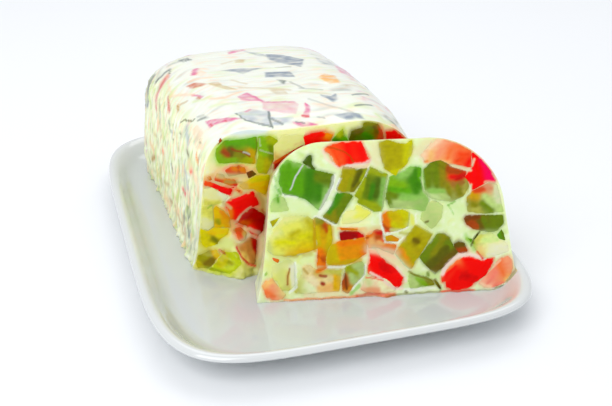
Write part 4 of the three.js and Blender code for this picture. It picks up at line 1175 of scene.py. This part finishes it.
def scatter(face, columns, rows, taken, seed):
    """Uneven pieces in a loose grid, clear of the places that are taken."""
    chance = random.Random(seed)
    for row, up in enumerate(rows):
        for x in columns:
            x, y = x + chance.uniform(-2, 2) + 3 * (row % 2), up + chance.uniform(-1.2, 1.2)
            size = chance.uniform(4.4, 6.8)
            turn = chance.uniform(0, TAU)
            count = chance.choice([3, 4, 5, 6])
            corners = [(x + size * chance.uniform(0.8, 1.2) * math.cos(turn + TAU * k / count),
                        y + size * chance.uniform(0.6, 1) * math.sin(turn + TAU * k / count))
                       for k in range(count)]
            slot, *tones = chance.choice(HIDDEN_TONES)
            room = min(half_width(y * MM, LEFT) / MM + x, half_width(y * MM, RIGHT) / MM - x)
            clear = all(math.hypot(x - tx, y - ty) > reach + size for tx, ty, reach in taken)
            if clear and room > size + EDGE_ROOM:
                flat_piece("hidden", face, corners, HIDDEN_DEPTH, slot, tones)


# across, up and reach of the places that are taken
LOAF_TAKEN = [(2.4, 54, 7), (12.8, 55, 4), (26, 54, 8), (40, 51, 5), (-22, 51, 4), (-26, 38, 5),
              (-27, 20, 4), (-31, 8, 4), (-11, 52, 6)]
BACK_TAKEN = [(42, 52, 5), (-34, 49.6, 10), (-20.8, 38.6, 6), (26.6, 47.8, 9), (34.6, 7.6, 9),
              (22.6, 17, 8), (-27.8, 24, 6), (-1.8, 12, 7)]
scatter("loaf", range(-16, 54, 11), (6, 17, 28, 39), LOAF_TAKEN, 11)
scatter("slice_back", range(-48, 52, 11), (6, 17, 28, 39, 50, 59), BACK_TAKEN, 5)
print("scraps and hidden pieces", len(scraps))

# %% [markdown]
# Clear jelly is nearly water: light goes in at its face, loses some colours on the way and comes
# back off the cream behind it. So each colour is partly a glass-like shader with an absorbing
# volume, and partly milky. The painted tint colours both.

# %% Jelly finish
# slot: absorbed colour, density per metre, share of light let through
JELLY = {
    "red_jelly": ((1.0, 0.12, 0.08), 40, 0.1),
    "dark_red_jelly": ((0.9, 0.08, 0.05), 50, 0.2),
    "salmon_jelly": ((1.0, 0.6, 0.4), 30, 0.12),
    "orange_jelly": ((1.0, 0.6, 0.1), 40, 0.3),
    "amber_jelly": ((0.98, 0.8, 0.05), 35, 0.26),
    "yellow_jelly": ((0.95, 0.93, 0.1), 40, 0.3),
    "pale_yellow_jelly": ((0.96, 0.96, 0.5), 20, 0.25),
    "lime_jelly": ((0.75, 0.93, 0.1), 35, 0.4),
    "green_jelly": ((0.6, 0.9, 0.05), 35, 0.45),
    "dark_green_jelly": ((0.75, 0.85, 0.05), 40, 0.45),
    "olive_jelly": ((0.85, 0.88, 0.05), 40, 0.4),
    "brown_jelly": ((0.85, 0.65, 0.05), 50, 0.4),
    "beige_jelly": ((0.98, 0.92, 0.7), 20, 0.22),
}


def add_tint(material, layer_name):
    """The painted tint as base colour."""
    tint = add_node(material, "ShaderNodeVertexColor")
    tint.layer_name = layer_name
    connect(material, ((tint, "Color"), ("Principled BSDF", "Base Color")))


def jelly_material(slot):
    absorbed, density, clear = JELLY[slot]
    material = new_material(slot, Roughness=0.08, IOR=1.34, Transmission_Weight=clear,
                            Specular_IOR_Level=0.12)
    add_tint(material, "tint")
    volume = add_node(material, "ShaderNodeVolumeAbsorption", Color=(*absorbed, 1),
                      Density=density)
    connect(material, ((volume, "Volume"), ("Material Output", "Volume")))
    return material


jelly_materials = {slot: jelly_material(slot) for slot in JELLY}
for piece, slot in [(piece, slots[node]) for node, piece in pieces.items()] + scraps:
    piece.data.materials.append(jelly_materials[slot])
print("jelly colours", len(jelly_materials))

# %% [markdown]
# The skin of the loaf shows the pieces that lie just under the cream, pale and soft edged. Those
# on its top and its left side are placed one by one: an outline or a line in millimetres, round
# the section from the middle of the top (the left side is below -57), and back from the cut.

# %% Pieces under the skin
def read_patches(text):
    """[(tone, strength, outline), ...]"""
    return [(tone, numbers[0], pairs(numbers[1:])) for tone, numbers in read_entries(text)]


# tone, strength, then round and back of each corner
SKIN_PATCHES = read_patches("""
slate 0.8 5.2 92.3 12 89.2 21 78.1 16.2 66.7 9.9 73.8 4.6 82.6
slate 0.5 -4.4 101.1 3.5 93.8 5 87.8 -0.2 92.4
rose 0.6 -13.1 103 -5.2 106.1 -2.7 103.4 -6.4 101.7 -13 99.3
biscuit 0.6 -13 88.3 -7.4 87.4 -9.9 82.1 -13.3 83.2
slate 0.65 -23.1 72.8 -13.6 73.9 -3.2 70.3 -9.9 68.4 -14.4 65 -16.9 69
slate 0.85 -3.5 63.9 8.6 60.8 8.1 52.8 1.6 55 -5.1 56.4; smoke 0.7 -1.1 51.2 2.6 48.4 0.1 44.8
apricot 0.75 18.5 48.7 23.8 51.9 28.1 49.5 26.5 38.6 21.7 38.7 19.7 44.6
smoke 0.8 -42 103.4 -35.8 102.2 -34 95.9 -39.1 96.6
rose 0.8 -39.8 74.7 -36.2 81.1 -33.7 80 -36.7 72.4
peach 0.6 -36.7 72.4 -33.3 77 -31.4 72 -34.8 69.6
terracotta 0.75 -46.3 66.5 -41.5 65.1 -35.1 57.3 -38.1 56.9 -43.6 59.5
biscuit 0.75 -34 56.9 -29.1 56.8 -28.5 51.2 -25.5 47 -23.3 44.1 -27.1 44.5 -33.5 54.3
rose 0.6 -24.9 34 -20.2 37.4 -17.5 33.4 -15.6 26.5 -20.9 27.8 -24.6 30
rose 0.36 -15.5 25.3 -1.9 21.5 -0.9 18.4 -5 10.2 -9.1 11.9 -16.1 15 -17.3 18.8
rose 0.85 2.7 19.1 3.4 14.8 0.8 8.2 -1.5 8.2 1.5 14.2
slate 0.8 12.7 25.8 16.6 22.9 19.6 25.1 18.1 19.7 15.4 17 13.9 20.7
biscuit 0.5 -8.2 38.8 -2 36.8 -1.7 31.3 -7.2 32.3
lavender 0.5 -30 15.6 -22.7 17.7 -16.1 15 -16.9 9.2 -18.7 3.2 -22.1 4 -27.4 7.3
lavender 0.6 -16.1 9.1 -7 6.9 -13 4 -17.2 3.7
slate 0.85 12.3 5.4 18.7 6.1 23.8 4.1 24.5 1 21.1 2.1 16.3 1.9
rose 0.7 -7.9 4.1 -1.2 3.2 3 0.1 -4.2 0.1 -6.3 2.1
rose 0.75 -48.9 23.2 -39.8 15.9 -30.7 10.1 -37.7 10.6 -45.5 15 -48.9 15.2
peach 0.5 39.2 0 47.2 2.8 53 2.9 47.7 0.1 42.1 0.1
peach 0.4 -59.2 29 -55.2 27.2 -54 19 -61.3 9.4 -65.4 17
smoke 0.3 -51.8 33.6 -47.1 29.2 -46 23.7 -50 26.9
""")
# tone, width, strength, then round and back of each point along it
SKIN_VEINS = read_veins("""
rose 1 0.9 -20.2 37.4 -17.8 32.1 -15.6 26.5; rose 0.8 0.7 -15.6 25 -2 21.2
rose 0.9 0.8 -46.4 54.6 -41.9 46.1; terracotta 0.9 0.9 -44.5 48.1 -43.8 45.7
red_streak 0.9 0.95 -2 7.9 0.1 7.1; smoke 0.7 0.8 27.2 22.6 40.5 27.4
smoke 1.6 0.35 20.2 30.2 27.7 29; smoke 0.7 0.8 24.5 11 35.4 13.7
biscuit 1.1 0.6 -20.8 46.2 -11.1 42.4 0.8 35.9
smoke 0.55 0.9 -31.1 15.6 -27.9 7.4 -22.1 4 -18 2.4; smoke 0.6 0.85 -16.3 14.5 -17.4 8.3 -18 2.4
smoke 0.8 0.7 -16.7 8.3 -13 4; rose 0.8 0.6 -26 16 -23.6 17.9; smoke 0.6 0.8 -6.5 4.2 -3.2 2.8
red_streak 0.6 0.8 -47.9 17.5 -47.3 14.9; red_streak 0.6 0.7 -39.1 12.3 -37.6 10.7
peach 1 0.7 -38.3 39.5 -31.5 34.5 -22.4 40.3; peach 1.2 0.5 -52.8 63.4 -45.8 53.8
peach 1.2 0.6 -43.2 69.7 -30.4 64.8; biscuit 0.8 0.5 -20.5 83.8 -14.4 87.1
biscuit 0.9 0.5 -21.8 57.8 -16.8 50.2; smoke 0.8 0.4 4 69.8 10.9 68.4
smoke 0.9 0.35 6.1 37.1 15.2 31.6; smoke 0.8 0.4 4.1 46.5 7.4 36.7
biscuit 0.9 0.35 4.5 32.1 17.1 25.8; smoke 0.9 0.3 5.9 22.9 12.8 13.5 20.9 6.6
peach 1.6 0.3 6.7 17 14.4 11.3; smoke 0.7 0.45 4.4 5.9 6.8 4.6
lime_streak 1.2 0.5 -48.4 47.6 -41.8 42.4 -37.6 41.6; lime_streak 1.4 0.4 -41.1 31.9 -28.5 26.2
red_streak 2.2 0.85 -76.5 91.6 -73.7 93.6 -67.4 93.2 -59.9 92.7 -54.1 92.7
red_streak 1.5 0.85 -62.2 75.4 -65.3 70 -67.8 67.1; smoke 2.4 0.8 -72.5 113.2 -67.6 112 -63 109.5
smoke 2 0.45 -83.4 112.2 -74.8 112.6; smoke 1.2 0.9 -64.6 103.1 -57 99.3 -49.6 97.3
smoke 0.9 0.8 -51.4 92.9 -49.5 96.2; smoke 1.3 0.5 -49.2 102.6 -41.2 100.4
ochre_spot 1.2 0.95 -59.2 58.9 -60.8 56.4; ochre_spot 0.9 0.5 -57.4 57 -52 53.3
dark_olive 0.6 0.85 -64.6 46.7 -60.5 42.7 -56.3 33.8 -54.5 33.9
smoke 0.9 0.7 -52.7 29.7 -47.5 26.4; lavender 2.4 0.7 -62.5 36.5 -68.7 28.6
dark_olive 1.5 0.85 -72.9 29.5 -73.1 24.9; ochre_spot 1.7 0.9 -111 98.6 -107.6 92.8
coral 1.7 0.95 -93.8 74.7 -95.4 73.5; apricot 2.2 0.6 -103.6 103.5 -102.9 94.7
biscuit 1.9 0.7 -105.2 77.8 -113.6 73.7; biscuit 1.4 0.7 -81.2 82.1 -88.8 80.1
smoke 1 0.6 -73.1 65.4 -77.5 58; smoke 1 0.6 -93.2 55.1 -96.4 51.7
orange 1 0.75 -66.8 13.8 -71.3 10.4; red 1.4 0.95 -80.3 21.3 -78.4 18.1
magenta 1.4 0.7 -95.7 32.5 -96.7 27.5; lavender 2 0.6 -81.2 31.8 -86.7 27 -90.7 23.6
peach 2.7 0.55 -76.5 23 -79.3 11.5 -83.2 6.4; lime_streak 1.5 0.8 -91.2 38.5 -98.3 38.7 -107 41.6
lime_streak 1.7 0.6 -96 71.4 -102.3 63.9; biscuit 1.2 0.75 -113.2 36 -116.2 29.2 -117.3 22.6
bottle 1.4 0.7 -100 20.7 -102.9 20.7; smoke 1.9 0.8 -105.4 18.8 -112.9 15.2
smoke 1.7 0.5 -115.3 9.2 -118.8 8.8; ochre_spot 1.4 0.7 -114.9 55.1 -113.2 49.8
biscuit 1.5 0.7 -108.6 64 -108.5 60; dark_olive 1 0.6 -92.4 122.6 -92.1 119.4
peach 2.5 0.6 -116.9 67.2 -118.3 55.2; biscuit 1.5 0.55 -112 44.2 -114.3 39
dark_olive 0.8 0.6 -69.4 43.1 -69.9 40.9; dark_olive 0.8 0.5 -78.6 55.1 -78.9 53.1
dark_olive 0.5 0.6 -59.2 16.5 -60.4 12.6; peach 1 0.5 -54 94.2 -58.3 75.3
peach 1 0.5 -59.6 73.1 -52.2 62.3; lime_streak 2 0.5 -84.7 102.9 -93.9 94.6
biscuit 1.4 0.5 -92.7 91.9 -97.1 84.9; lime_streak 2.2 0.5 -74.3 76.9 -90.5 72.9
smoke 1.5 0.35 -107.1 27.3 -117.6 18.8
""")


print("patches", len(SKIN_PATCHES), "veins", len(SKIN_VEINS))

# %% [markdown]
# The functions here find each vertex of the skin on that map, tell skin from cut face and pocket,
# and lay the patches over the cream with soft, cloudy edges.

# %% Places on the skin
def before_sag(points):
    """Across, back from the cut, and up, as if the top had not sunk."""
    local = turned_back(points, LOAF_AT, LOAF_TURN)
    x, y = local[:, 0], local[:, 1]
    return x, y, local[:, 2] / height_kept(x, y)


def skin_places(points):
    """Millimetres round the section, and back from the cut."""
    x, y, height = before_sag(points)
    down = HEIGHT - np.clip(height, 0, HEIGHT)
    return (x + np.where(x < 0, -down, down)) / MM, y / MM


def inside_outline(x, y, outline):
    """Millimetres inside the outline, less than zero outside it."""
    inside = np.zeros(len(x), bool)
    apart = np.full(len(x), np.inf)
    for (x0, y0), (x1, y1) in zip(outline, outline[1:] + outline[:1]):
        apart = np.minimum(apart, stroke_distance(x, y, x0, y0, x1, y1))
        if y0 != y1:
            inside ^= ((y0 > y) != (y1 > y)) & (x < (x1 - x0) * (y - y0) / (y1 - y0) + x0)
    return np.where(inside, apart, -apart)


PATCH_LIFT = 1.25


def lay_patches(x, y, colours, patches):
    """Colours with the patches laid over, and how much of a patch is at each place."""
    cloudy = 0.8 + 0.7 * rough(x, y, 4, 2.6, 3)
    cover = np.zeros(len(x))
    for tone, strength, outline in patches:
        depth = inside_outline(x, y, outline)
        strength = min(1, PATCH_LIFT * strength)
        share = strength * np.clip(0.5 + depth / 1.3, 0, 1)
        rim = 0.35 * np.exp(-((depth / 0.6) ** 2))
        share = np.clip(share * cloudy + rim * strength * cloudy, 0, 1)
        colours = blend(colours, tone, share)
        cover = np.maximum(cover, share)
    return colours, cover


LOAF_SLACK, SLICE_SLACK = 0.0005, 0.0003
CUT_EDGE = 0.0004               # the skin starts this far from a cut
SOLE_EDGE = 0.0003
DEEPEST_POCKET = 0.03


def outside(x, up, slack):
    """True on the moulded outside, and false in the pockets."""
    height = np.clip(up, 0, HEIGHT)
    return ((x < slack - half_width(height, LEFT)) | (x > half_width(height, RIGHT) - slack)
            | (up > HEIGHT - slack))


def loaf_skin(points):
    x, y, height = before_sag(points)
    found = outside(x, height, LOAF_SLACK) | (y > DEEPEST_POCKET)
    return found & (y > CUT_EDGE) & (height > SOLE_EDGE)


def slice_skin(points):
    across, up, depth = face_places(points, "slice")
    between_cuts = (depth > CUT_EDGE) & (depth < SLICE_THICK - CUT_EDGE)
    return outside(across, up, SLICE_SLACK) & between_cuts


for part, find_skin in (("loaf", loaf_skin), ("slice", slice_skin)):
    print("skin of the", part, find_skin(coordinates(bodies[part])).mean().round(2))

# %% [markdown]
# The rest of the skin, which is the right side, the end and the rim of the slice, gets boxes
# packed under it by a fixed chance. Where a box comes close to the surface, its colour shows.

# %% Packed boxes
SUNK_TONES = [("rose", 0.2), ("slate", 0.26), ("smoke", 0.1), ("biscuit", 0.16),
              ("lime_streak", 0.12), ("terracotta", 0.08), ("lavender", 0.08)]
SUNK_SPACING = 0.0085
SUNK_FADE = 0.0006
SUNK_SHARE = 0.8
BOX_WARP = 0.0009
BOX_REACH = 0.013
BOX_HALVES = ((0.002, 0.009), (0.0015, 0.006), (0.0015, 0.005))
BOX_GAP = (0.0001, 0.0011)      # cream over a box: at least this much, and at most so much more


def pack_sunk(points, directions, seed):
    """Boxes just under the skin: centre, axes as rows, half sizes, tone."""
    chance = random.Random(seed)
    order = list(range(len(points)))
    chance.shuffle(order)
    sites, boxes = np.full((1, 3), 9.0), []
    for i in order:
        p = points[i]
        if ((sites - p) ** 2).sum(axis=1).min() < SUNK_SPACING ** 2:
            continue
        sites = np.vstack([sites, p])
        normal = Vector(directions[i])
        tilt = chance.uniform(0, 0.15) if chance.random() < 0.3 else chance.uniform(0.2, 0.9)
        spin = Matrix.Rotation(chance.uniform(0, TAU), 3, normal)
        side = spin @ normal.orthogonal().normalized()
        up = Matrix.Rotation(tilt, 3, side) @ normal
        axes = np.array([side, up.cross(side), up])
        half = np.array([chance.uniform(*span) for span in BOX_HALVES])
        support = np.abs(axes @ np.array(normal)) @ half
        gap = BOX_GAP[0] + BOX_GAP[1] * chance.random() ** 1.5
        tone = chance.choices([t for t, _ in SUNK_TONES], [w for _, w in SUNK_TONES])[0]
        boxes.append((p - np.array(normal) * (support + gap), axes, half, linear(tone)))
    return boxes


def lay_boxes(points, boxes, colours):
    closeness = np.zeros(len(points))
    tones = np.array(colours)
    warp = np.array([noise.noise_vector(Vector(p) * UNEVEN_SCALE) for p in points])
    points = points + BOX_WARP * warp
    for centre, axes, half, tone in boxes:
        near = np.flatnonzero(np.abs(points - centre).max(axis=1) < BOX_REACH)
        local = np.abs((points[near] - centre) @ axes.T) - half
        distance = np.linalg.norm(np.maximum(local, 0), axis=1)
        close = np.exp(-distance / SUNK_FADE)
        better = close > closeness[near]
        closeness[near[better]] = close[better]
        tones[near[better]] = tone
    share = SUNK_SHARE * closeness
    return blend(colours, tones, share), share


def streaks(x, y, colours, amount):
    """Thin streaks of cream of other shades, drawn out round the section. The smoke streaks lie
    along the troughs of the ridges and are painted shade; the glint streaks are painted highlights.
    """
    first, second = rough(x, y, 17, 4.2, 11), rough(x, y, 9, 2.2, 17)
    for value, tone, strength in ((second - 0.1, "peach", 1.5), (first - 0.1, "lime_streak", 1.6),
                                  (-first - 0.24, "smoke", 1.1), (-second - 0.2, "glint", 1.6)):
        colours = blend(colours, tone, np.clip(value * strength * amount, 0, 0.7))
    return colours, first + 0.6 * second


print("sunk tones", len(SUNK_TONES))

# %% [markdown]
# On a cut face the cream is faintly marbled and stained, and the nearest piece shines through it.
# The skin is streaked, and has relief as well: the pieces under it stand out a little, the streaks
# are low ridges, and its left side is dented.

# %% Colours of the cream
RELIEF = 0.00030                # of the pieces under the skin
STREAK_RELIEF = 0.00050
DENT_RELIEF = 0.00060           # torn and dented skin on the left side
FOOT_LUMPS, FOOT_LUMPS_REACH = 0.0017, 0.005
PLACED_TO = (34, 112)           # round and back: so far the skin's pieces are placed one by one
BASE_TONE = {"loaf": "milk_yellow", "slice": "milk"}
BLEED = {"loaf": 0.85, "slice": 0.7}
BLEED_REACH = {"loaf": 1.2, "slice": 0.7}


def bleed(points, part, colours):
    """Colour of the nearest piece shines through the cream round it."""
    found = [(n, p) for n, p in pieces.items() if n.startswith(part)]
    sites = np.concatenate([coordinates(p)[::2] for _, p in found])
    tones = np.concatenate([tints[n][::2] for n, _ in found])
    tree = kdtree.KDTree(len(sites))
    for i, site in enumerate(sites):
        tree.insert(site, i)
    tree.balance()
    near = [tree.find(p) for p in points]
    apart = np.array([distance for _, _, distance in near]) / MM
    share = BLEED[part] * np.exp(-((apart / BLEED_REACH[part]) ** 1.5))
    return blend(colours, tones[[i for _, i, _ in near]], share)


def paint_cut(points, part):
    across, up, _ = face_places(points, part)
    across, up = unsteady(across / MM, up / MM)
    colours = np.repeat(linear(BASE_TONE[part])[None], len(points), axis=0)
    marble = rough(across, up, 2.6, 2.0, 23) + 0.5 * rough(across, up, 1.1, 0.8, 29)
    for value, tone in ((marble - 0.1, "milk_white"), (-marble - 0.15, "straw")):
        colours = blend(colours, tone, np.clip(value * 1.1, 0, 0.55))
    colours = lay_veins(across, up, colours, STAINS[part])
    colours = bleed(points, part, colours)
    return lay_veins(across, up, colours, VEINS[part]), marble


def colour_skin(points, directions):
    """Colours of the loaf's skin, and how far it is raised."""
    round_it, back = skin_places(points)
    end_on = smoothstep(directions @ np.array(INTO_FACE["loaf"]), 0.3, 0.8)
    left = smoothstep(-round_it, 52, 72) * (1 - end_on)
    # The skin is painted by the way it faces: whiter and cooler on top, partly a painted reflection
    # of the bright sky, and yellower on the steep sides, partly painted shade and partly the
    # cream's translucency.
    steep = 1 - smoothstep(directions[:, 2], 0.3, 0.8)
    colours = blend(linear("top_cream"), "side_cream", steep)
    dents = rough(round_it, back, 7, 2.4, 41) + 0.5 * rough(round_it, back, 2.6, 1.6, 43)
    # the dents of the left side are painted a darker green-grey where they sink: painted shade in
    # the hollows
    colours = blend(colours, "sage", np.clip(-1.5 * dents - 0.1, 0, 0.6) * left)
    amount = (0.5 + 0.8 * left) * (1 - 0.7 * end_on)
    colours, ridges = streaks(*unsteady(round_it, back, 2.4, 11), colours, amount)
    packed = (round_it >= PLACED_TO[0]) | (back >= PLACED_TO[1])
    boxes = pack_sunk(points[packed], directions[packed], 4)
    colours, share = lay_boxes(points, boxes, colours)
    wobble = unsteady(round_it, back, 0.5, 4)
    colours, cover = lay_patches(*wobble, colours, SKIN_PATCHES)
    colours = lay_veins(*wobble, colours, SKIN_VEINS)
    low = np.exp(-(points[:, 2] - STAND) / FOOT_LUMPS_REACH)
    lumps = rough(round_it, back, 9, 5.5, 47) + 0.7 * dents
    raised = RELIEF * np.maximum(share, cover) + FOOT_LUMPS * low * left * lumps
    raised += DENT_RELIEF * left * dents + STREAK_RELIEF * ridges * (0.4 + left)
    return colours, raised * np.clip(back / 3, 0, 1), len(boxes)


def colour_rim(points, directions):
    """Colours of the slice's rim, and how far it is raised."""
    boxes = pack_sunk(points, directions, 9)
    colours = np.repeat(linear("side_cream")[None], len(points), axis=0)
    colours, share = lay_boxes(points, boxes, colours)
    return colours, RELIEF * (share - 0.3), len(boxes)


print("recipes ready")

# %% [markdown]
# Both bodies are painted vertex by vertex, and their surface is moved out or in by the relief. The
# cut faces are slightly uneven too, and the loaf's is rougher towards its foot.

# %% Paint and shape the cream
CUT_RELIEF = 0.00007
FOOT_RELIEF, FOOT_RELIEF_REACH = 0.00100, 0.003
SOLE_FLAT = 0.0002              # below this the loaf's cut face stays as it is


def paint_cream(part, is_skin, colour_outside, foot_relief):
    body = bodies[part]
    points, directions = coordinates(body), normals(body)
    painted, marble = paint_cut(points, part)
    skin = is_skin(points)
    painted[skin], raised, count = colour_outside(points[skin], directions[skin])
    above = np.maximum(0, points[:, 2] - STAND)
    relief = CUT_RELIEF + foot_relief * np.exp(-above / FOOT_RELIEF_REACH)
    if foot_relief:
        relief = np.where(points[:, 2] > STAND + SOLE_FLAT, relief, 0)
    points[skin] += directions[skin] * raised[:, None]
    points[~skin] += directions[~skin] * (relief * marble)[~skin][:, None]
    move_vertices(body, points)
    paint(body, painted, skin.astype(float), "cream_tint")
    print(count, "boxes under the skin of the", part)


paint_cream("loaf", loaf_skin, colour_skin, FOOT_RELIEF)
paint_cream("slice", slice_skin, colour_rim, 0)

# %% [markdown]
# Where a cut face meets the plate the knife has torn it, so its foot bulges and dents. Cream and
# pieces take the same lumps, and stay flush.

# %% Torn foot of a cut face
SWELL = {"loaf": 0.0017, "slice": 0.0009}
SWELL_HEIGHT = {"loaf": 0.008, "slice": 0.004}
SWELL_DEPTHS = (0.001, 0.007)   # it fades between these depths behind the cut
BULGE_AT, BULGE_HALF = -0.0012, 0.0034          # a soft piece hangs out under the slice


def swell_foot(obj, part):
    points = coordinates(obj)
    across, up, depth = face_places(points, part)
    turn = LOAF_TURN if part == "loaf" else SLICE_TURN
    lumps = rough(across / MM, up / MM, 7, 4.5, 61)
    lumps += 0.6 * rough(across / MM, up / MM, 2.6, 2.2, 67)
    if part == "slice":
        lumps += 1.5 * np.exp(-(((across - BULGE_AT) / BULGE_HALF) ** 2))
    fade = np.exp(-np.maximum(0, up) / SWELL_HEIGHT[part])
    fade *= 1 - smoothstep(depth, *SWELL_DEPTHS)
    outward = np.array([math.sin(turn), -math.cos(turn), 0])
    points += outward * (SWELL[part] * lumps * fade)[:, None]
    move_vertices(obj, points)
    rest_on_plate(obj)


for name, obj in [*bodies.items(), *pieces.items()]:
    swell_foot(obj, name.split("_")[0])
print("torn feet", len(bodies))

# %% [markdown]
# Set cream is white with a breath of yellow, wet, and light goes a few millimetres into it. The
# painted tint is its base colour, and subsurface scattering gives the depth.

# %% Cream finish
cream = new_material("cream_jelly", Roughness=0.28, IOR=1.36, Subsurface_Weight=0.5,
                     Subsurface_Scale=0.003, Subsurface_Radius=(1.0, 0.9, 0.6),
                     Coat_Weight=0.25, Coat_Roughness=0.12)
add_tint(cream, "cream_tint")
add_bump(cream, scale=420, detail=4, strength=0.18, distance=0.0005)
for body in bodies.values():
    body.data.materials.clear()
    body.data.materials.append(cream)
